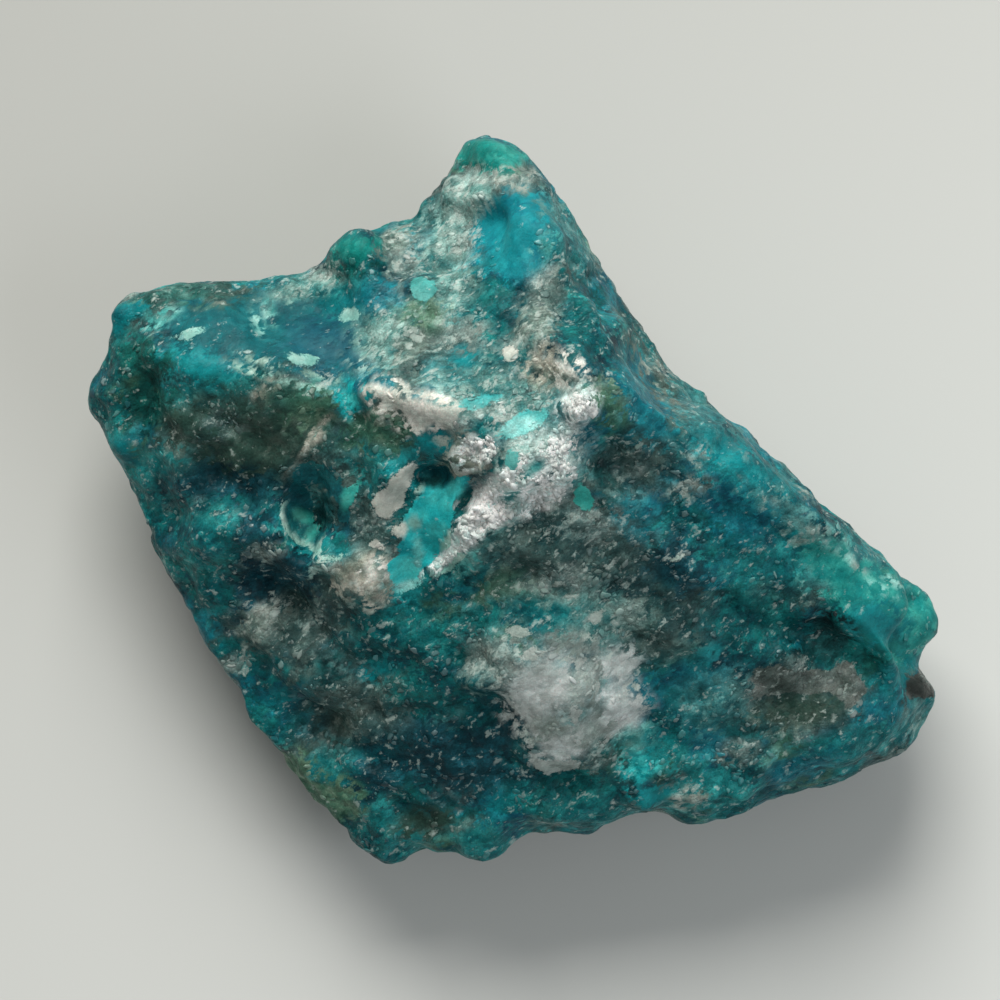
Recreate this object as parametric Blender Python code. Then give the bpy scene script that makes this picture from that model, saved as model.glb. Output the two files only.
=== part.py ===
"""A broken piece of turquoise grown through grey quartz, 30 mm across, lying on its flat underside.

The stone formed as one piece, so it is one solid: an upper and a lower skin that meet along its
widest line. Seen from above that line has four sides, so each skin is a square grid stretched
between them. A skin's height over the floor comes from broken faces that slope in different ways,
and from the lumps, hollows and ledges that stand on them. +X is the right end of the stone, +Y its
upper tip and +Z its show face. Lengths are in millimetres until the mesh is made.
"""

import itertools

import bpy
import numpy as np

MM = 0.001

# The mesh: each skin is a grid of this many cells a side
CELLS = 52

# The widest line seen from above, from the upper tip round by the left end: x, y
OUTLINE = (
    (-0.8, 12.9), (-1.7, 12.8), (-2.0, 12.1), (-2.6, 11.1), (-3.2, 10.6), (-3.4, 10.1),
    (-4.2, 9.9), (-4.8, 9.6), (-5.8, 9.5), (-6.4, 9.1), (-6.7, 8.5), (-7.3, 8.1),
    (-8.4, 8.0), (-8.9, 7.8), (-11.1, 7.8), (-12.5, 7.6), (-13.5, 7.3), (-14.1, 6.8),
    (-14.2, 6.4), (-14.0, 5.8), (-14.5, 5.1), (-15.0, 3.9), (-15.0, 3.4), (-14.5, 2.5),
    (-14.0, 1.5), (-13.5, 0.7), (-13.2, -0.1), (-12.7, -1.0), (-12.5, -2.0), (-12.0, -2.8),
    (-11.3, -4.1), (-10.6, -5.4), (-9.8, -6.4), (-9.2, -7.8), (-8.1, -9.0), (-7.4, -10.2),
    (-6.0, -11.3), (-5.4, -12.3), (-4.5, -12.9), (-4.1, -12.8), (-3.4, -12.2), (-2.5, -12.3),
    (-1.2, -12.5), (-0.5, -12.5), (0.0, -12.0), (0.6, -11.7), (1.4, -11.6), (2.7, -11.7),
    (3.5, -11.2), (4.5, -10.9), (5.3, -10.9), (6.1, -11.3), (6.9, -11.3), (8.5, -10.8),
    (9.1, -10.4), (10.1, -10.3), (11.5, -9.9), (12.4, -9.4), (13.5, -9.0), (14.2, -8.5),
    (14.5, -7.8), (14.9, -7.0), (14.9, -6.6), (14.5, -6.1), (14.2, -5.7), (14.5, -5.1),
    (14.9, -4.6), (15.0, -4.1), (14.8, -3.6), (14.5, -3.0), (13.5, -2.6), (13.1, -2.2),
    (12.9, -1.8), (12.2, -1.4), (11.9, -0.9), (11.2, -0.4), (10.5, 0.0), (10.4, 0.4),
    (9.8, 1.0), (8.6, 2.0), (8.1, 2.7), (7.5, 2.8), (6.8, 3.6), (6.2, 4.1), (5.5, 4.6),
    (4.9, 5.4), (4.2, 6.5), (3.6, 7.4), (2.7, 8.8), (1.9, 10.2), (1.2, 11.2), (0.6, 12.1),
    (0.0, 12.6),
)
# Where its four sides meet: the upper tip, the left end, the lower tip and the right end
CORNERS = ((-0.8, 12.9), (-14.1, 6.8), (-4.5, -12.9), (14.5, -3.0))
CORNER_ROUNDING = (-0.24, -0.12, 0.0, 0.12, 0.24)

# The height of the widest line: level, tipping up towards the tip, wavy (by the size of each wave
# and its height), and low at the dark knob
RIM_LEVEL = 4.9
RIM_TIP = 0.10
RIM_WAVES = ((8.5, 0.34), (3.4, 0.14))
DARK_KNOB = (14.7, -7.0)
DARK_KNOB_DIP = 0.9
DARK_KNOB_REACH = 1.3

# How squarely each skin turns over at the widest line: 2 is an ellipse, more is squarer
UPPER_SHOULDER = 7.0
LOWER_SHOULDER = 4.0
SKIN_SPREAD = 1.8

# Broken faces of the show side: a point on the face (x, y, z), then its rise per mm along x and y
UPPER_FACES = (
    ((-7.6, 4.4, 11.2), (0.26, -0.46)),   # shoulder on the upper left
    ((-7.6, 4.4, 11.2), (0.42, 0.44)),    # long face falling to the lower left
    ((-12.2, 5.4, 9.9), (0.80, 0.50)),    # left end
    ((1.6, 3.7, 14.0), (0.06, -0.52)),    # spur up to the tip
    ((1.6, 3.7, 13.9), (-0.12, 0.43)),    # wide face on the lower right
    ((13.6, -4.0, 10.0), (-0.90, 0.20)),  # right end
)
UPPER_BLEND = 0.22

# The broken edge of each side from the tip round by the left: its height where it meets the wall,
# and its rise per mm inwards
EDGES = ((7.6, 0.9), (6.5, 1.1), (6.0, 1.4), (8.6, 3.4))

# Faces of the underside in the same form. What lies below the cut is broken off flat
LOWER_FACES = (
    ((0.0, 0.0, -0.6), (0.02, 0.01)),
    ((-9.0, 0.0, 0.3), (-0.50, 0.14)),
    ((8.6, 0.0, 0.3), (0.36, -0.05)),
    ((1.0, 4.6, 0.3), (-0.10, 0.44)),
    ((0.0, -7.2, 0.3), (0.06, -0.45)),
    ((-7.6, -5.0, 0.5), (-0.38, -0.38)),
    ((5.0, 2.6, 0.5), (0.46, 0.36)),
)
LOWER_BLEND = 0.35
CUT_LEVEL = 0.45

# Lumps (height above 0) and hollows (below 0): x, y, half length, half width, turn in degrees,
# height, and squareness, where 2 is a soft swelling and 6 a flat step with a steep edge
FORMS = (
    (-8.3, 6.2, 3.9, 1.3, -6, -0.55, 2),      # scoop in the upper left shoulder
    (-5.7, 8.9, 1.0, 0.75, 10, 0.80, 3),      # round knob on the upper edge
    (-0.8, 12.2, 1.3, 0.7, 0, 0.55, 3),       # lobe at the tip
    (0.1, 9.6, 1.5, 1.8, 0, 0.30, 4),         # blue turquoise swelling under the tip
    (2.2, 7.4, 0.5, 1.2, -20, -0.40, 2),      # cleft beside it
    (1.9, 5.0, 1.1, 0.7, -42, 0.45, 4),       # white crust on the summit
    (2.2, 3.3, 0.7, 0.55, 0, 0.50, 4),        # white lump on the summit
    (-3.8, 3.7, 2.1, 0.55, -18, 0.45, 3),     # cream band along the crest
    (-2.6, 5.6, 1.4, 0.9, 30, -0.35, 3),      # hollow behind the crest
    (0.2, 1.2, 1.8, 1.0, 42, 0.35, 3),        # white quartz in front of the crest
    (-7.2, -0.2, 1.65, 0.95, 100, -1.40, 4),  # deep vug
    (-3.0, -1.2, 2.1, 0.8, 59, -0.45, 4),     # trough that holds the bright vein
    (-2.5, 0.8, 1.0, 0.6, -25, -0.80, 3),     # pits at the head of the vein
    (-4.5, 0.6, 1.0, 0.6, 60, 0.45, 3),       # cream chip standing up beside the pits
    (-5.2, -2.4, 0.9, 0.9, 0, 0.35, 3),       # tan lump under the vein
    (4.1, 0.9, 1.3, 0.6, -10, -0.50, 3),      # dark ledge under the summit
    (8.0, 1.0, 2.5, 0.75, -35, 0.38, 2),      # swelling along the right crest
    (1.8, -6.9, 3.0, 2.2, -20, 0.40, 4),      # milky quartz eye
    (1.5, -4.0, 2.4, 0.8, -6, 0.32, 3),       # flaky crust over the eye
    (-1.2, -8.8, 2.4, 1.5, 10, -0.35, 3),     # low dark place left of the eye
    (13.0, -3.8, 2.1, 1.8, -30, 0.80, 2),     # smooth lobe at the right end
    (11.1, -5.0, 1.3, 0.75, -24, -0.80, 3),   # shadowed recess under the lobe
    (10.3, -6.7, 2.0, 1.2, 6, -0.35, 5),      # sunken grey quartz
    (-11.1, 1.3, 1.7, 1.1, 0, -0.45, 3),      # hollow on the lower left face
    (-10.6, -1.2, 1.3, 0.9, 20, 0.50, 3),     # turquoise lump below it
    (-8.6, -3.1, 1.3, 0.7, -20, -0.55, 3),    # dark dip under the vug
    (-6.4, -6.8, 1.6, 1.0, -40, 0.35, 3),     # grey grains near the lower left edge
    (-1.2, -11.7, 1.8, 0.6, 0, 0.35, 3),      # lumps along the lower edge
    (2.2, -11.0, 1.3, 0.6, 0, 0.35, 3),
    (6.6, -10.6, 1.6, 0.6, 6, 0.45, 3),
)

# All-over roughness: size of the unevenness and its height
WAVE_SIZES = (3.6, 1.7)
WAVE_HEIGHTS = (0.16, 0.07)
WAVES = 24
CHIP_SIZE = 2.4
CHIP_STEP = 0.20
CHIP_TILT = 0.16
CHIP_EDGE = 0.45
# Steep walls are chipped deeper, and set back so that the widest line stays the widest
WALL_CHIPPING = 0.7
WALL_SETBACK = 0.30
RIM_FADE = 30
# Roughness moves each point along the direction in which this many rounds of averaging leave it
DIRECTION_ROUNDS = 4
SEED = 7

STONE_COLOUR = (0.013, 0.137, 0.140, 1.0)
STONE_ROUGHNESS = 0.45


def clear_scene():
    """Start from an empty scene."""
    for item in list(bpy.data.objects):
        bpy.data.objects.remove(item, do_unlink=True)


def grid_lines(squareness):
    """Grid lines from -1 to 1, spaced evenly along a skin that drops steeply at its edge."""
    reach = np.linspace(0, 1, 4001)
    drop = (1 - reach**squareness) ** (1 / squareness)
    walked = np.concatenate([[0], np.cumsum(np.hypot(np.diff(reach) * SKIN_SPREAD, np.diff(drop)))])
    steps = np.linspace(-1, 1, CELLS + 1)
    return np.sign(steps) * np.interp(np.abs(steps), walked / walked[-1], reach)


def outline_side(side, share):
    """Points along one side of the widest line, its corners rounded by averaging a short stretch."""
    loop = np.array(OUTLINE + OUTLINE[:1])
    walked = np.concatenate([[0], np.cumsum(np.hypot(*np.diff(loop, axis=0).T))])
    ends = [walked[OUTLINE.index(corner)] for corner in CORNERS] + [walked[-1]]
    total = 0
    for shift in CORNER_ROUNDING:
        place = (ends[side] + (ends[side + 1] - ends[side]) * share + shift) % walked[-1]
        total = total + np.stack([np.interp(place, walked, line) for line in loop.T], axis=-1)
    return total / len(CORNER_ROUNDING)


def stretched_grid(lines):
    """A square grid stretched between the four sides, and how far each place is from each side.

    A place is the mean, weighted by nearness, of the points that face it on two opposite sides,
    added for both pairs of sides, less the same mean of the four corners.
    """
    share = (lines + 1) / 2
    upper_left = outline_side(0, share)[:, None]
    lower_left = outline_side(1, share)[None, :]
    lower_right = outline_side(2, 1 - share)[:, None]
    upper_right = outline_side(3, 1 - share)[None, :]
    over = share[None, :, None]
    down = share[:, None, None]
    tip, left_end = upper_left[0, 0], upper_left[-1, 0]
    right_end, lower_tip = lower_right[0, 0], lower_right[-1, 0]
    corners = (1 - over) * ((1 - down) * tip + down * left_end)
    corners = corners + over * ((1 - down) * right_end + down * lower_tip)
    place = (1 - over) * upper_left + over * lower_right
    place = place + (1 - down) * upper_right + down * lower_left - corners
    sides = (upper_left, lower_left, lower_right, upper_right)
    return place, [np.linalg.norm(place - side, axis=-1) for side in sides]


def rim_height(place):
    """The height of the widest line over the floor."""
    apart = np.hypot(place[..., 0] - DARK_KNOB[0], place[..., 1] - DARK_KNOB[1])
    dip = DARK_KNOB_DIP * np.exp(-((apart / DARK_KNOB_REACH) ** 2))
    level = np.dstack([place, np.zeros(place.shape[:-1])])
    wavy = sum(height * waves(level, size, SEED) for size, height in RIM_WAVES)
    return RIM_LEVEL + RIM_TIP * place[..., 1] + wavy - dip


def face_heights(place, faces):
    """The height of each sloping face over each place."""
    return np.stack([
        z + (place[..., 0] - x) * along_x + (place[..., 1] - y) * along_y
        for (x, y, z), (along_x, along_y) in faces
    ])


def forms_height(place):
    """The lumps and hollows: height * exp(-q ** squareness), where q is 1 on the form's ellipse."""
    total = np.zeros(place.shape[:-1])
    for x, y, length, width, degrees, height, squareness in FORMS:
        turn = np.radians(degrees)
        right = place[..., 0] - x
        up = place[..., 1] - y
        along = (right * np.cos(turn) + up * np.sin(turn)) / length
        aside = (up * np.cos(turn) - right * np.sin(turn)) / width
        total += height * np.exp(-np.hypot(along, aside) ** squareness)
    return total


def upper_height(place, inwards):
    """The show side: the lowest of its faces and edges at each place, softly joined, with its forms."""
    edges = [height + rise * reach for (height, rise), reach in zip(EDGES, inwards)]
    faces = np.concatenate([face_heights(place, UPPER_FACES), edges])
    return forms_height(place) - UPPER_BLEND * np.log(np.exp(-faces / UPPER_BLEND).sum(axis=0))


def lower_height(place, inwards):
    """The underside: the highest of its faces at each place, softly joined, under the widest line."""
    faces = face_heights(place, LOWER_FACES)
    height = LOWER_BLEND * np.log(np.exp(faces / LOWER_BLEND).sum(axis=0))
    return np.minimum(height, rim_height(place))


def skin(height_at, squareness, facing):
    """A skin, facing 1 up or -1 down, as a grid that turns over steeply into the widest line."""
    lines = grid_lines(squareness)
    place, inwards = stretched_grid(lines)
    out = np.maximum(np.abs(lines)[:, None], np.abs(lines)[None, :])
    turnover = (1 - out**squareness) ** (1 / squareness)
    rim = rim_height(place)
    height = rim + (height_at(place, inwards) - rim) * turnover
    return roughened(np.dstack([place, height]), out, facing)


def waves(points, size, seed):
    """Soft unevenness: many sine waves of one length that cross in all directions."""
    random = np.random.default_rng(seed)
    ways = random.normal(size=(3, WAVES))
    ways /= np.linalg.norm(ways, axis=0)
    starts = random.uniform(0, 2 * np.pi, WAVES)
    return np.sin(points @ ways * (2 * np.pi / size) + starts).sum(axis=-1) / np.sqrt(WAVES)


def scrambled(cell, seed):
    """Six even random numbers from 0 to 1 for each whole-numbered cell."""
    mixed = (cell.astype(np.int64) * (73856093, 19349663, 83492791)).sum(axis=-1) + seed * 7919
    numbers = []
    for _ in range(6):
        mixed = (mixed * 1103515245 + 12345) % 2147483648
        numbers.append((mixed >> 8) % 65536 / 65536)
    return np.stack(numbers, axis=-1)


def chips(points, size, seed):
    """Chipped faces: each point takes the step and tilt of the nearest chip, mixed near its edge."""
    home = np.floor(points / size)
    height = 0
    total = 0
    for step in itertools.product((-1, 0, 1), repeat=3):
        numbers = scrambled(home + step, seed)
        away = points - (home + step + numbers[..., :3]) * size
        nearness = np.exp(-(away**2).sum(axis=-1) * 2 / (size * CHIP_EDGE))
        tilt = ((numbers[..., 3:] - 0.5) * away).sum(axis=-1) * 2 * CHIP_TILT
        height = height + nearness * (tilt + (numbers[..., 3] - 0.5) * 2 * CHIP_STEP)
        total = total + nearness
    return height / total


def outward(points, facing):
    """The direction out of a skin at each point, averaged with its neighbours' directions."""
    normal = np.cross(np.gradient(points, axis=0), np.gradient(points, axis=1))
    normal *= facing / np.linalg.norm(normal, axis=-1, keepdims=True)
    for _ in range(DIRECTION_ROUNDS):
        wide = np.pad(normal, ((1, 1), (1, 1), (0, 0)), mode="edge")
        normal = 2 * normal + wide[2:, 1:-1] + wide[:-2, 1:-1] + wide[1:-1, 2:] + wide[1:-1, :-2]
        normal /= np.linalg.norm(normal, axis=-1, keepdims=True)
    return normal


def roughened(points, out, facing):
    """A skin moved along its outward directions: steep walls mostly inwards, its rim not at all."""
    normal = outward(points, facing)
    steep = 1 - np.abs(normal[..., 2])
    move = chips(points, CHIP_SIZE, SEED) * (1 + WALL_CHIPPING * steep) - WALL_SETBACK * steep
    for size, height in zip(WAVE_SIZES, WAVE_HEIGHTS):
        move = move + height * waves(points, size, SEED)
    return points + normal * (move * (1 - out**RIM_FADE))[..., None]


def stone_points():
    """The two skins as grids of points, the lower one broken off flat."""
    upper = skin(upper_height, UPPER_SHOULDER, 1)
    lower = skin(lower_height, LOWER_SHOULDER, -1)
    upper[..., 2] -= CUT_LEVEL
    lower[..., 2] = np.maximum(lower[..., 2] - CUT_LEVEL, 0)
    return upper, lower


def stone_mesh(upper, lower):
    """One closed mesh, in which the skins share the points of the widest line."""
    side = CELLS + 1
    above = np.arange(side * side).reshape(side, side)
    below = above.copy()
    below[1:-1, 1:-1] = side * side + np.arange((side - 2) ** 2).reshape(side - 2, side - 2)
    quads = [
        np.stack([grid[:-1, :-1], grid[1:, :-1], grid[1:, 1:], grid[:-1, 1:]], axis=-1).reshape(-1, 4)
        for grid in (above, below)
    ]
    quads[1] = quads[1][:, ::-1]
    points = np.concatenate([upper.reshape(-1, 3), lower[1:-1, 1:-1].reshape(-1, 3)]) * MM
    mesh = bpy.data.meshes.new("stone")
    mesh.from_pydata(points.tolist(), [], np.concatenate(quads).tolist())
    mesh.update()
    return mesh


def stone_material():
    """Waxy blue-green turquoise with grey quartz through it."""
    material = bpy.data.materials.new("turquoise in quartz, broken")
    material.use_nodes = True
    surface = material.node_tree.nodes["Principled BSDF"]
    surface.inputs["Base Color"].default_value = STONE_COLOUR
    surface.inputs["Roughness"].default_value = STONE_ROUGHNESS
    surface.inputs["Metallic"].default_value = 0.0
    return material


def make_stone():
    """The stone, resting on its flat underside with the origin under the middle of its outline."""
    stone = bpy.data.objects.new("stone", stone_mesh(*stone_points()))
    stone.data.materials.append(stone_material())
    bpy.context.scene.collection.objects.link(stone)
    return stone


clear_scene()
make_stone()
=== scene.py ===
"""The looks of a broken piece of turquoise in grey quartz, lying on a plain pale floor.

Lengths are in millimetres until a mesh, a light or the camera is made. +X is the stone's right end,
+Y its upper tip and +Z its show face, which the camera looks down on.
"""

import itertools

import bpy
import numpy as np
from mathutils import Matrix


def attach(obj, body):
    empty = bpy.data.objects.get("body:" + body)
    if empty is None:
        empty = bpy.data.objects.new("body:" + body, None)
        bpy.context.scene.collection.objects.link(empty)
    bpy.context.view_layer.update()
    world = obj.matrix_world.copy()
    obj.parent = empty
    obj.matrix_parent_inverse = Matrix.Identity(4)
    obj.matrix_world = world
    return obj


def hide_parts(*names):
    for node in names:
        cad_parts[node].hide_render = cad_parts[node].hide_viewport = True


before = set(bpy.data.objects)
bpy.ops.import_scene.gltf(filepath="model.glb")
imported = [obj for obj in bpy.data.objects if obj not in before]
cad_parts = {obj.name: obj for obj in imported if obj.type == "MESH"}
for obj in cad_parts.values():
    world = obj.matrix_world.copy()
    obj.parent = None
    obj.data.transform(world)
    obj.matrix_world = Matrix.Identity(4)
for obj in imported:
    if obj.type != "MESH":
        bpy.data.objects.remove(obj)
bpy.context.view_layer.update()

# The stone's form
# One broken piece of rock: blue-green turquoise grown through grey and milky quartz, which broke
# along rough sloping faces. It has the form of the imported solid, chipped at every size down to the
# quartz grains. Two skins, upper and lower, meet along its widest line and close it.

# Cells along a side of each skin, and of the coarse skins that give the directions out of it
CELLS = 222
COARSE_CELLS = 52

# The widest line seen from above, from the upper tip round by the left end: x, y
OUTLINE = (
    (-0.8, 12.9), (-1.7, 12.8), (-2.0, 12.1), (-2.6, 11.1), (-3.2, 10.6), (-3.4, 10.1),
    (-4.2, 9.9), (-4.8, 9.6), (-5.8, 9.5), (-6.4, 9.1), (-6.7, 8.5), (-7.3, 8.1),
    (-8.4, 8.0), (-8.9, 7.8), (-11.1, 7.8), (-12.5, 7.6), (-13.5, 7.3), (-14.1, 6.8),
    (-14.2, 6.4), (-14.0, 5.8), (-14.5, 5.1), (-15.0, 3.9), (-15.0, 3.4), (-14.5, 2.5),
    (-14.0, 1.5), (-13.5, 0.7), (-13.2, -0.1), (-12.7, -1.0), (-12.5, -2.0), (-12.0, -2.8),
    (-11.3, -4.1), (-10.6, -5.4), (-9.8, -6.4), (-9.2, -7.8), (-8.1, -9.0), (-7.4, -10.2),
    (-6.0, -11.3), (-5.4, -12.3), (-4.5, -12.9), (-4.1, -12.8), (-3.4, -12.2), (-2.5, -12.3),
    (-1.2, -12.5), (-0.5, -12.5), (0.0, -12.0), (0.6, -11.7), (1.4, -11.6), (2.7, -11.7),
    (3.5, -11.2), (4.5, -10.9), (5.3, -10.9), (6.1, -11.3), (6.9, -11.3), (8.5, -10.8),
    (9.1, -10.4), (10.1, -10.3), (11.5, -9.9), (12.4, -9.4), (13.5, -9.0), (14.2, -8.5),
    (14.5, -7.8), (14.9, -7.0), (14.9, -6.6), (14.5, -6.1), (14.2, -5.7), (14.5, -5.1),
    (14.9, -4.6), (15.0, -4.1), (14.8, -3.6), (14.5, -3.0), (13.5, -2.6), (13.1, -2.2),
    (12.9, -1.8), (12.2, -1.4), (11.9, -0.9), (11.2, -0.4), (10.5, 0.0), (10.4, 0.4),
    (9.8, 1.0), (8.6, 2.0), (8.1, 2.7), (7.5, 2.8), (6.8, 3.6), (6.2, 4.1), (5.5, 4.6),
    (4.9, 5.4), (4.2, 6.5), (3.6, 7.4), (2.7, 8.8), (1.9, 10.2), (1.2, 11.2), (0.6, 12.1),
    (0.0, 12.6),
)
# Where its four sides meet: the upper tip, the left end, the lower tip and the right end
CORNERS = ((-0.8, 12.9), (-14.1, 6.8), (-4.5, -12.9), (14.5, -3.0))
CORNER_ROUNDING = (-0.24, -0.12, 0.0, 0.12, 0.24)

# The height of the widest line: level, tipping up towards the tip, wavy (by the size of each wave
# and its height), and low at the dark knob
RIM_LEVEL = 4.9
RIM_TIP = 0.10
RIM_WAVES = ((8.5, 0.34), (3.4, 0.14))
DARK_KNOB = (14.7, -7.0)
DARK_KNOB_DIP = 0.9
DARK_KNOB_REACH = 1.3

# How squarely each skin turns over at the widest line: 2 is an ellipse, more is squarer
UPPER_SHOULDER = 7.0
LOWER_SHOULDER = 4.0
# How wide a skin is for its height, and the points that its length is measured by, to space its
# grid lines evenly
SKIN_SPREAD = 1.8
PROFILE_POINTS = 4001

# Broken faces of the show side: a point on the face (x, y, z), then its rise per mm along x and y
UPPER_FACES = (
    ((-7.6, 4.4, 11.2), (0.26, -0.46)),   # shoulder on the upper left
    ((-7.6, 4.4, 11.2), (0.42, 0.44)),    # long face falling to the lower left
    ((-12.2, 5.4, 9.9), (0.80, 0.50)),    # left end
    ((1.6, 3.7, 14.0), (0.06, -0.52)),    # spur up to the tip
    ((1.6, 3.7, 13.9), (-0.12, 0.43)),    # wide face on the lower right
    ((13.6, -4.0, 10.0), (-0.90, 0.20)),  # right end
)
UPPER_BLEND = 0.22

# The broken edge of each side from the tip round by the left: its height where it meets the wall,
# and its rise per mm inwards
EDGES = ((7.6, 0.9), (6.5, 1.1), (6.0, 1.4), (8.6, 3.4))

# Faces of the underside in the same form. What lies below the cut is broken off flat
LOWER_FACES = (
    ((0.0, 0.0, -0.6), (0.02, 0.01)),
    ((-9.0, 0.0, 0.3), (-0.50, 0.14)),
    ((8.6, 0.0, 0.3), (0.36, -0.05)),
    ((1.0, 4.6, 0.3), (-0.10, 0.44)),
    ((0.0, -7.2, 0.3), (0.06, -0.45)),
    ((-7.6, -5.0, 0.5), (-0.38, -0.38)),
    ((5.0, 2.6, 0.5), (0.46, 0.36)),
)
LOWER_BLEND = 0.35
CUT_LEVEL = 0.45

# Lumps (height above 0) and hollows (below 0): x, y, half length, half width, turn in degrees,
# height, and squareness, where 2 is a soft swelling and 6 a flat step with a steep edge
FORMS = (
    (-8.3, 6.2, 3.9, 1.3, -6, -0.55, 2),      # scoop in the upper left shoulder
    (-5.7, 8.9, 1.0, 0.75, 10, 0.80, 3),      # round knob on the upper edge
    (-0.8, 12.2, 1.3, 0.7, 0, 0.55, 3),       # lobe at the tip
    (0.1, 9.6, 1.5, 1.8, 0, 0.30, 4),         # blue turquoise swelling under the tip
    (2.2, 7.4, 0.5, 1.2, -20, -0.40, 2),      # cleft beside it
    (1.9, 5.0, 1.1, 0.7, -42, 0.45, 4),       # white crust on the summit
    (2.2, 3.3, 0.7, 0.55, 0, 0.50, 4),        # white lump on the summit
    (-3.8, 3.7, 2.1, 0.55, -18, 0.45, 3),     # cream band along the crest
    (-2.6, 5.6, 1.4, 0.9, 30, -0.35, 3),      # hollow behind the crest
    (0.2, 1.2, 1.8, 1.0, 42, 0.35, 3),        # white quartz in front of the crest
    (-7.2, -0.2, 1.65, 0.95, 100, -1.40, 4),  # deep vug
    (-3.0, -1.2, 2.1, 0.8, 59, -0.45, 4),     # trough that holds the bright vein
    (-2.9, 0.9, 0.65, 0.45, 0, -1.00, 4),     # pits at the head of the vein
    (-1.5, 0.2, 0.60, 0.32, 60, -0.80, 4),
    (-4.5, 0.6, 1.0, 0.6, 60, 0.45, 3),       # cream chip standing up beside the pits
    (-5.2, -2.4, 0.9, 0.9, 0, 0.35, 3),       # tan lump under the vein
    (4.1, 0.9, 1.3, 0.6, -10, -0.50, 3),      # dark ledge under the summit
    (8.0, 1.0, 2.5, 0.75, -35, 0.38, 2),      # swelling along the right crest
    (1.8, -6.9, 3.0, 2.2, -20, 0.40, 4),      # milky quartz eye
    (1.5, -4.0, 2.4, 0.8, -6, 0.32, 3),       # flaky crust over the eye
    (-1.2, -8.8, 2.4, 1.5, 10, -0.35, 3),     # low dark place left of the eye
    (13.0, -3.8, 2.1, 1.8, -30, 0.80, 2),     # smooth lobe at the right end
    (11.1, -5.0, 1.3, 0.75, -24, -0.80, 3),   # shadowed recess under the lobe
    (10.3, -6.7, 2.0, 1.2, 6, -0.35, 5),      # sunken grey quartz
    (-11.1, 1.3, 1.7, 1.1, 0, -0.45, 3),      # hollow on the lower left face
    (-10.6, -1.2, 1.3, 0.9, 20, 0.50, 3),     # turquoise lump below it
    (-8.6, -3.1, 1.3, 0.7, -20, -0.55, 3),    # dark dip under the vug
    (-6.4, -6.8, 1.6, 1.0, -40, 0.35, 3),     # grey grains near the lower left edge
    (-1.2, -11.7, 1.8, 0.6, 0, 0.35, 3),      # lumps along the lower edge
    (2.2, -11.0, 1.3, 0.6, 0, 0.35, 3),
    (6.6, -10.6, 1.6, 0.6, 6, 0.45, 3),
)

# All-over roughness: size of the unevenness and its height
WAVE_SIZES = (3.6, 1.7)
WAVE_HEIGHTS = (0.16, 0.07)
WAVES = 24
# Chipped faces: their size, step, tilt, and how far each blends into the next. Rounds of averaging
# widen their edges to a few cells
CHIPS = (2.4, 0.20, 0.16, 0.14)
CHIP_ROUNDS = 3
# Steep walls are chipped deeper, and set back so that the widest line stays the widest. Roughness
# fades out there by the power RIM_FADE of how far out a point is
WALL_CHIPPING = 0.7
WALL_SETBACK = 0.30
RIM_FADE = 30
# Roughness moves each point along the direction in which this many rounds of averaging leave it
DIRECTION_ROUNDS = 4
# Random numbers: where they start, and the large numbers that scramble a cell's place into them
SEED = 7
SCRAMBLE_PLACE = (73856093, 19349663, 83492791)
SCRAMBLE_SEED = 7919
SCRAMBLE_TIMES, SCRAMBLE_PLUS, SCRAMBLE_WITHIN = 1103515245, 12345, 2147483648


def grid_lines(squareness, cells):
    """Grid lines from -1 to 1, spaced evenly along a skin that drops steeply at its edge."""
    reach = np.linspace(0, 1, PROFILE_POINTS)
    drop = (1 - reach**squareness) ** (1 / squareness)
    walked = np.concatenate([[0], np.cumsum(np.hypot(np.diff(reach) * SKIN_SPREAD, np.diff(drop)))])
    steps = np.linspace(-1, 1, cells + 1)
    return np.sign(steps) * np.interp(np.abs(steps), walked / walked[-1], reach)


def outline_side(side, share):
    """Points along one side of the widest line, its corners rounded by averaging a short stretch."""
    loop = np.array(OUTLINE + OUTLINE[:1])
    walked = np.concatenate([[0], np.cumsum(np.hypot(*np.diff(loop, axis=0).T))])
    ends = [walked[OUTLINE.index(corner)] for corner in CORNERS] + [walked[-1]]
    total = 0
    for shift in CORNER_ROUNDING:
        place = (ends[side] + (ends[side + 1] - ends[side]) * share + shift) % walked[-1]
        total = total + np.stack([np.interp(place, walked, line) for line in loop.T], axis=-1)
    return total / len(CORNER_ROUNDING)


def stretched_grid(lines):
    """A square grid stretched between the four sides, and how far each place is from each side.

    A place is the mean, weighted by nearness, of the points that face it on two opposite sides,
    added for both pairs of sides, less the same mean of the four corners.
    """
    share = (lines + 1) / 2
    upper_left = outline_side(0, share)[:, None]
    lower_left = outline_side(1, share)[None, :]
    lower_right = outline_side(2, 1 - share)[:, None]
    upper_right = outline_side(3, 1 - share)[None, :]
    over = share[None, :, None]
    down = share[:, None, None]
    tip, left_end = upper_left[0, 0], upper_left[-1, 0]
    right_end, lower_tip = lower_right[0, 0], lower_right[-1, 0]
    corners = (1 - over) * ((1 - down) * tip + down * left_end)
    corners = corners + over * ((1 - down) * right_end + down * lower_tip)
    place = (1 - over) * upper_left + over * lower_right
    place = place + (1 - down) * upper_right + down * lower_left - corners
    sides = (upper_left, lower_left, lower_right, upper_right)
    return place, [np.linalg.norm(place - side, axis=-1) for side in sides]


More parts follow.
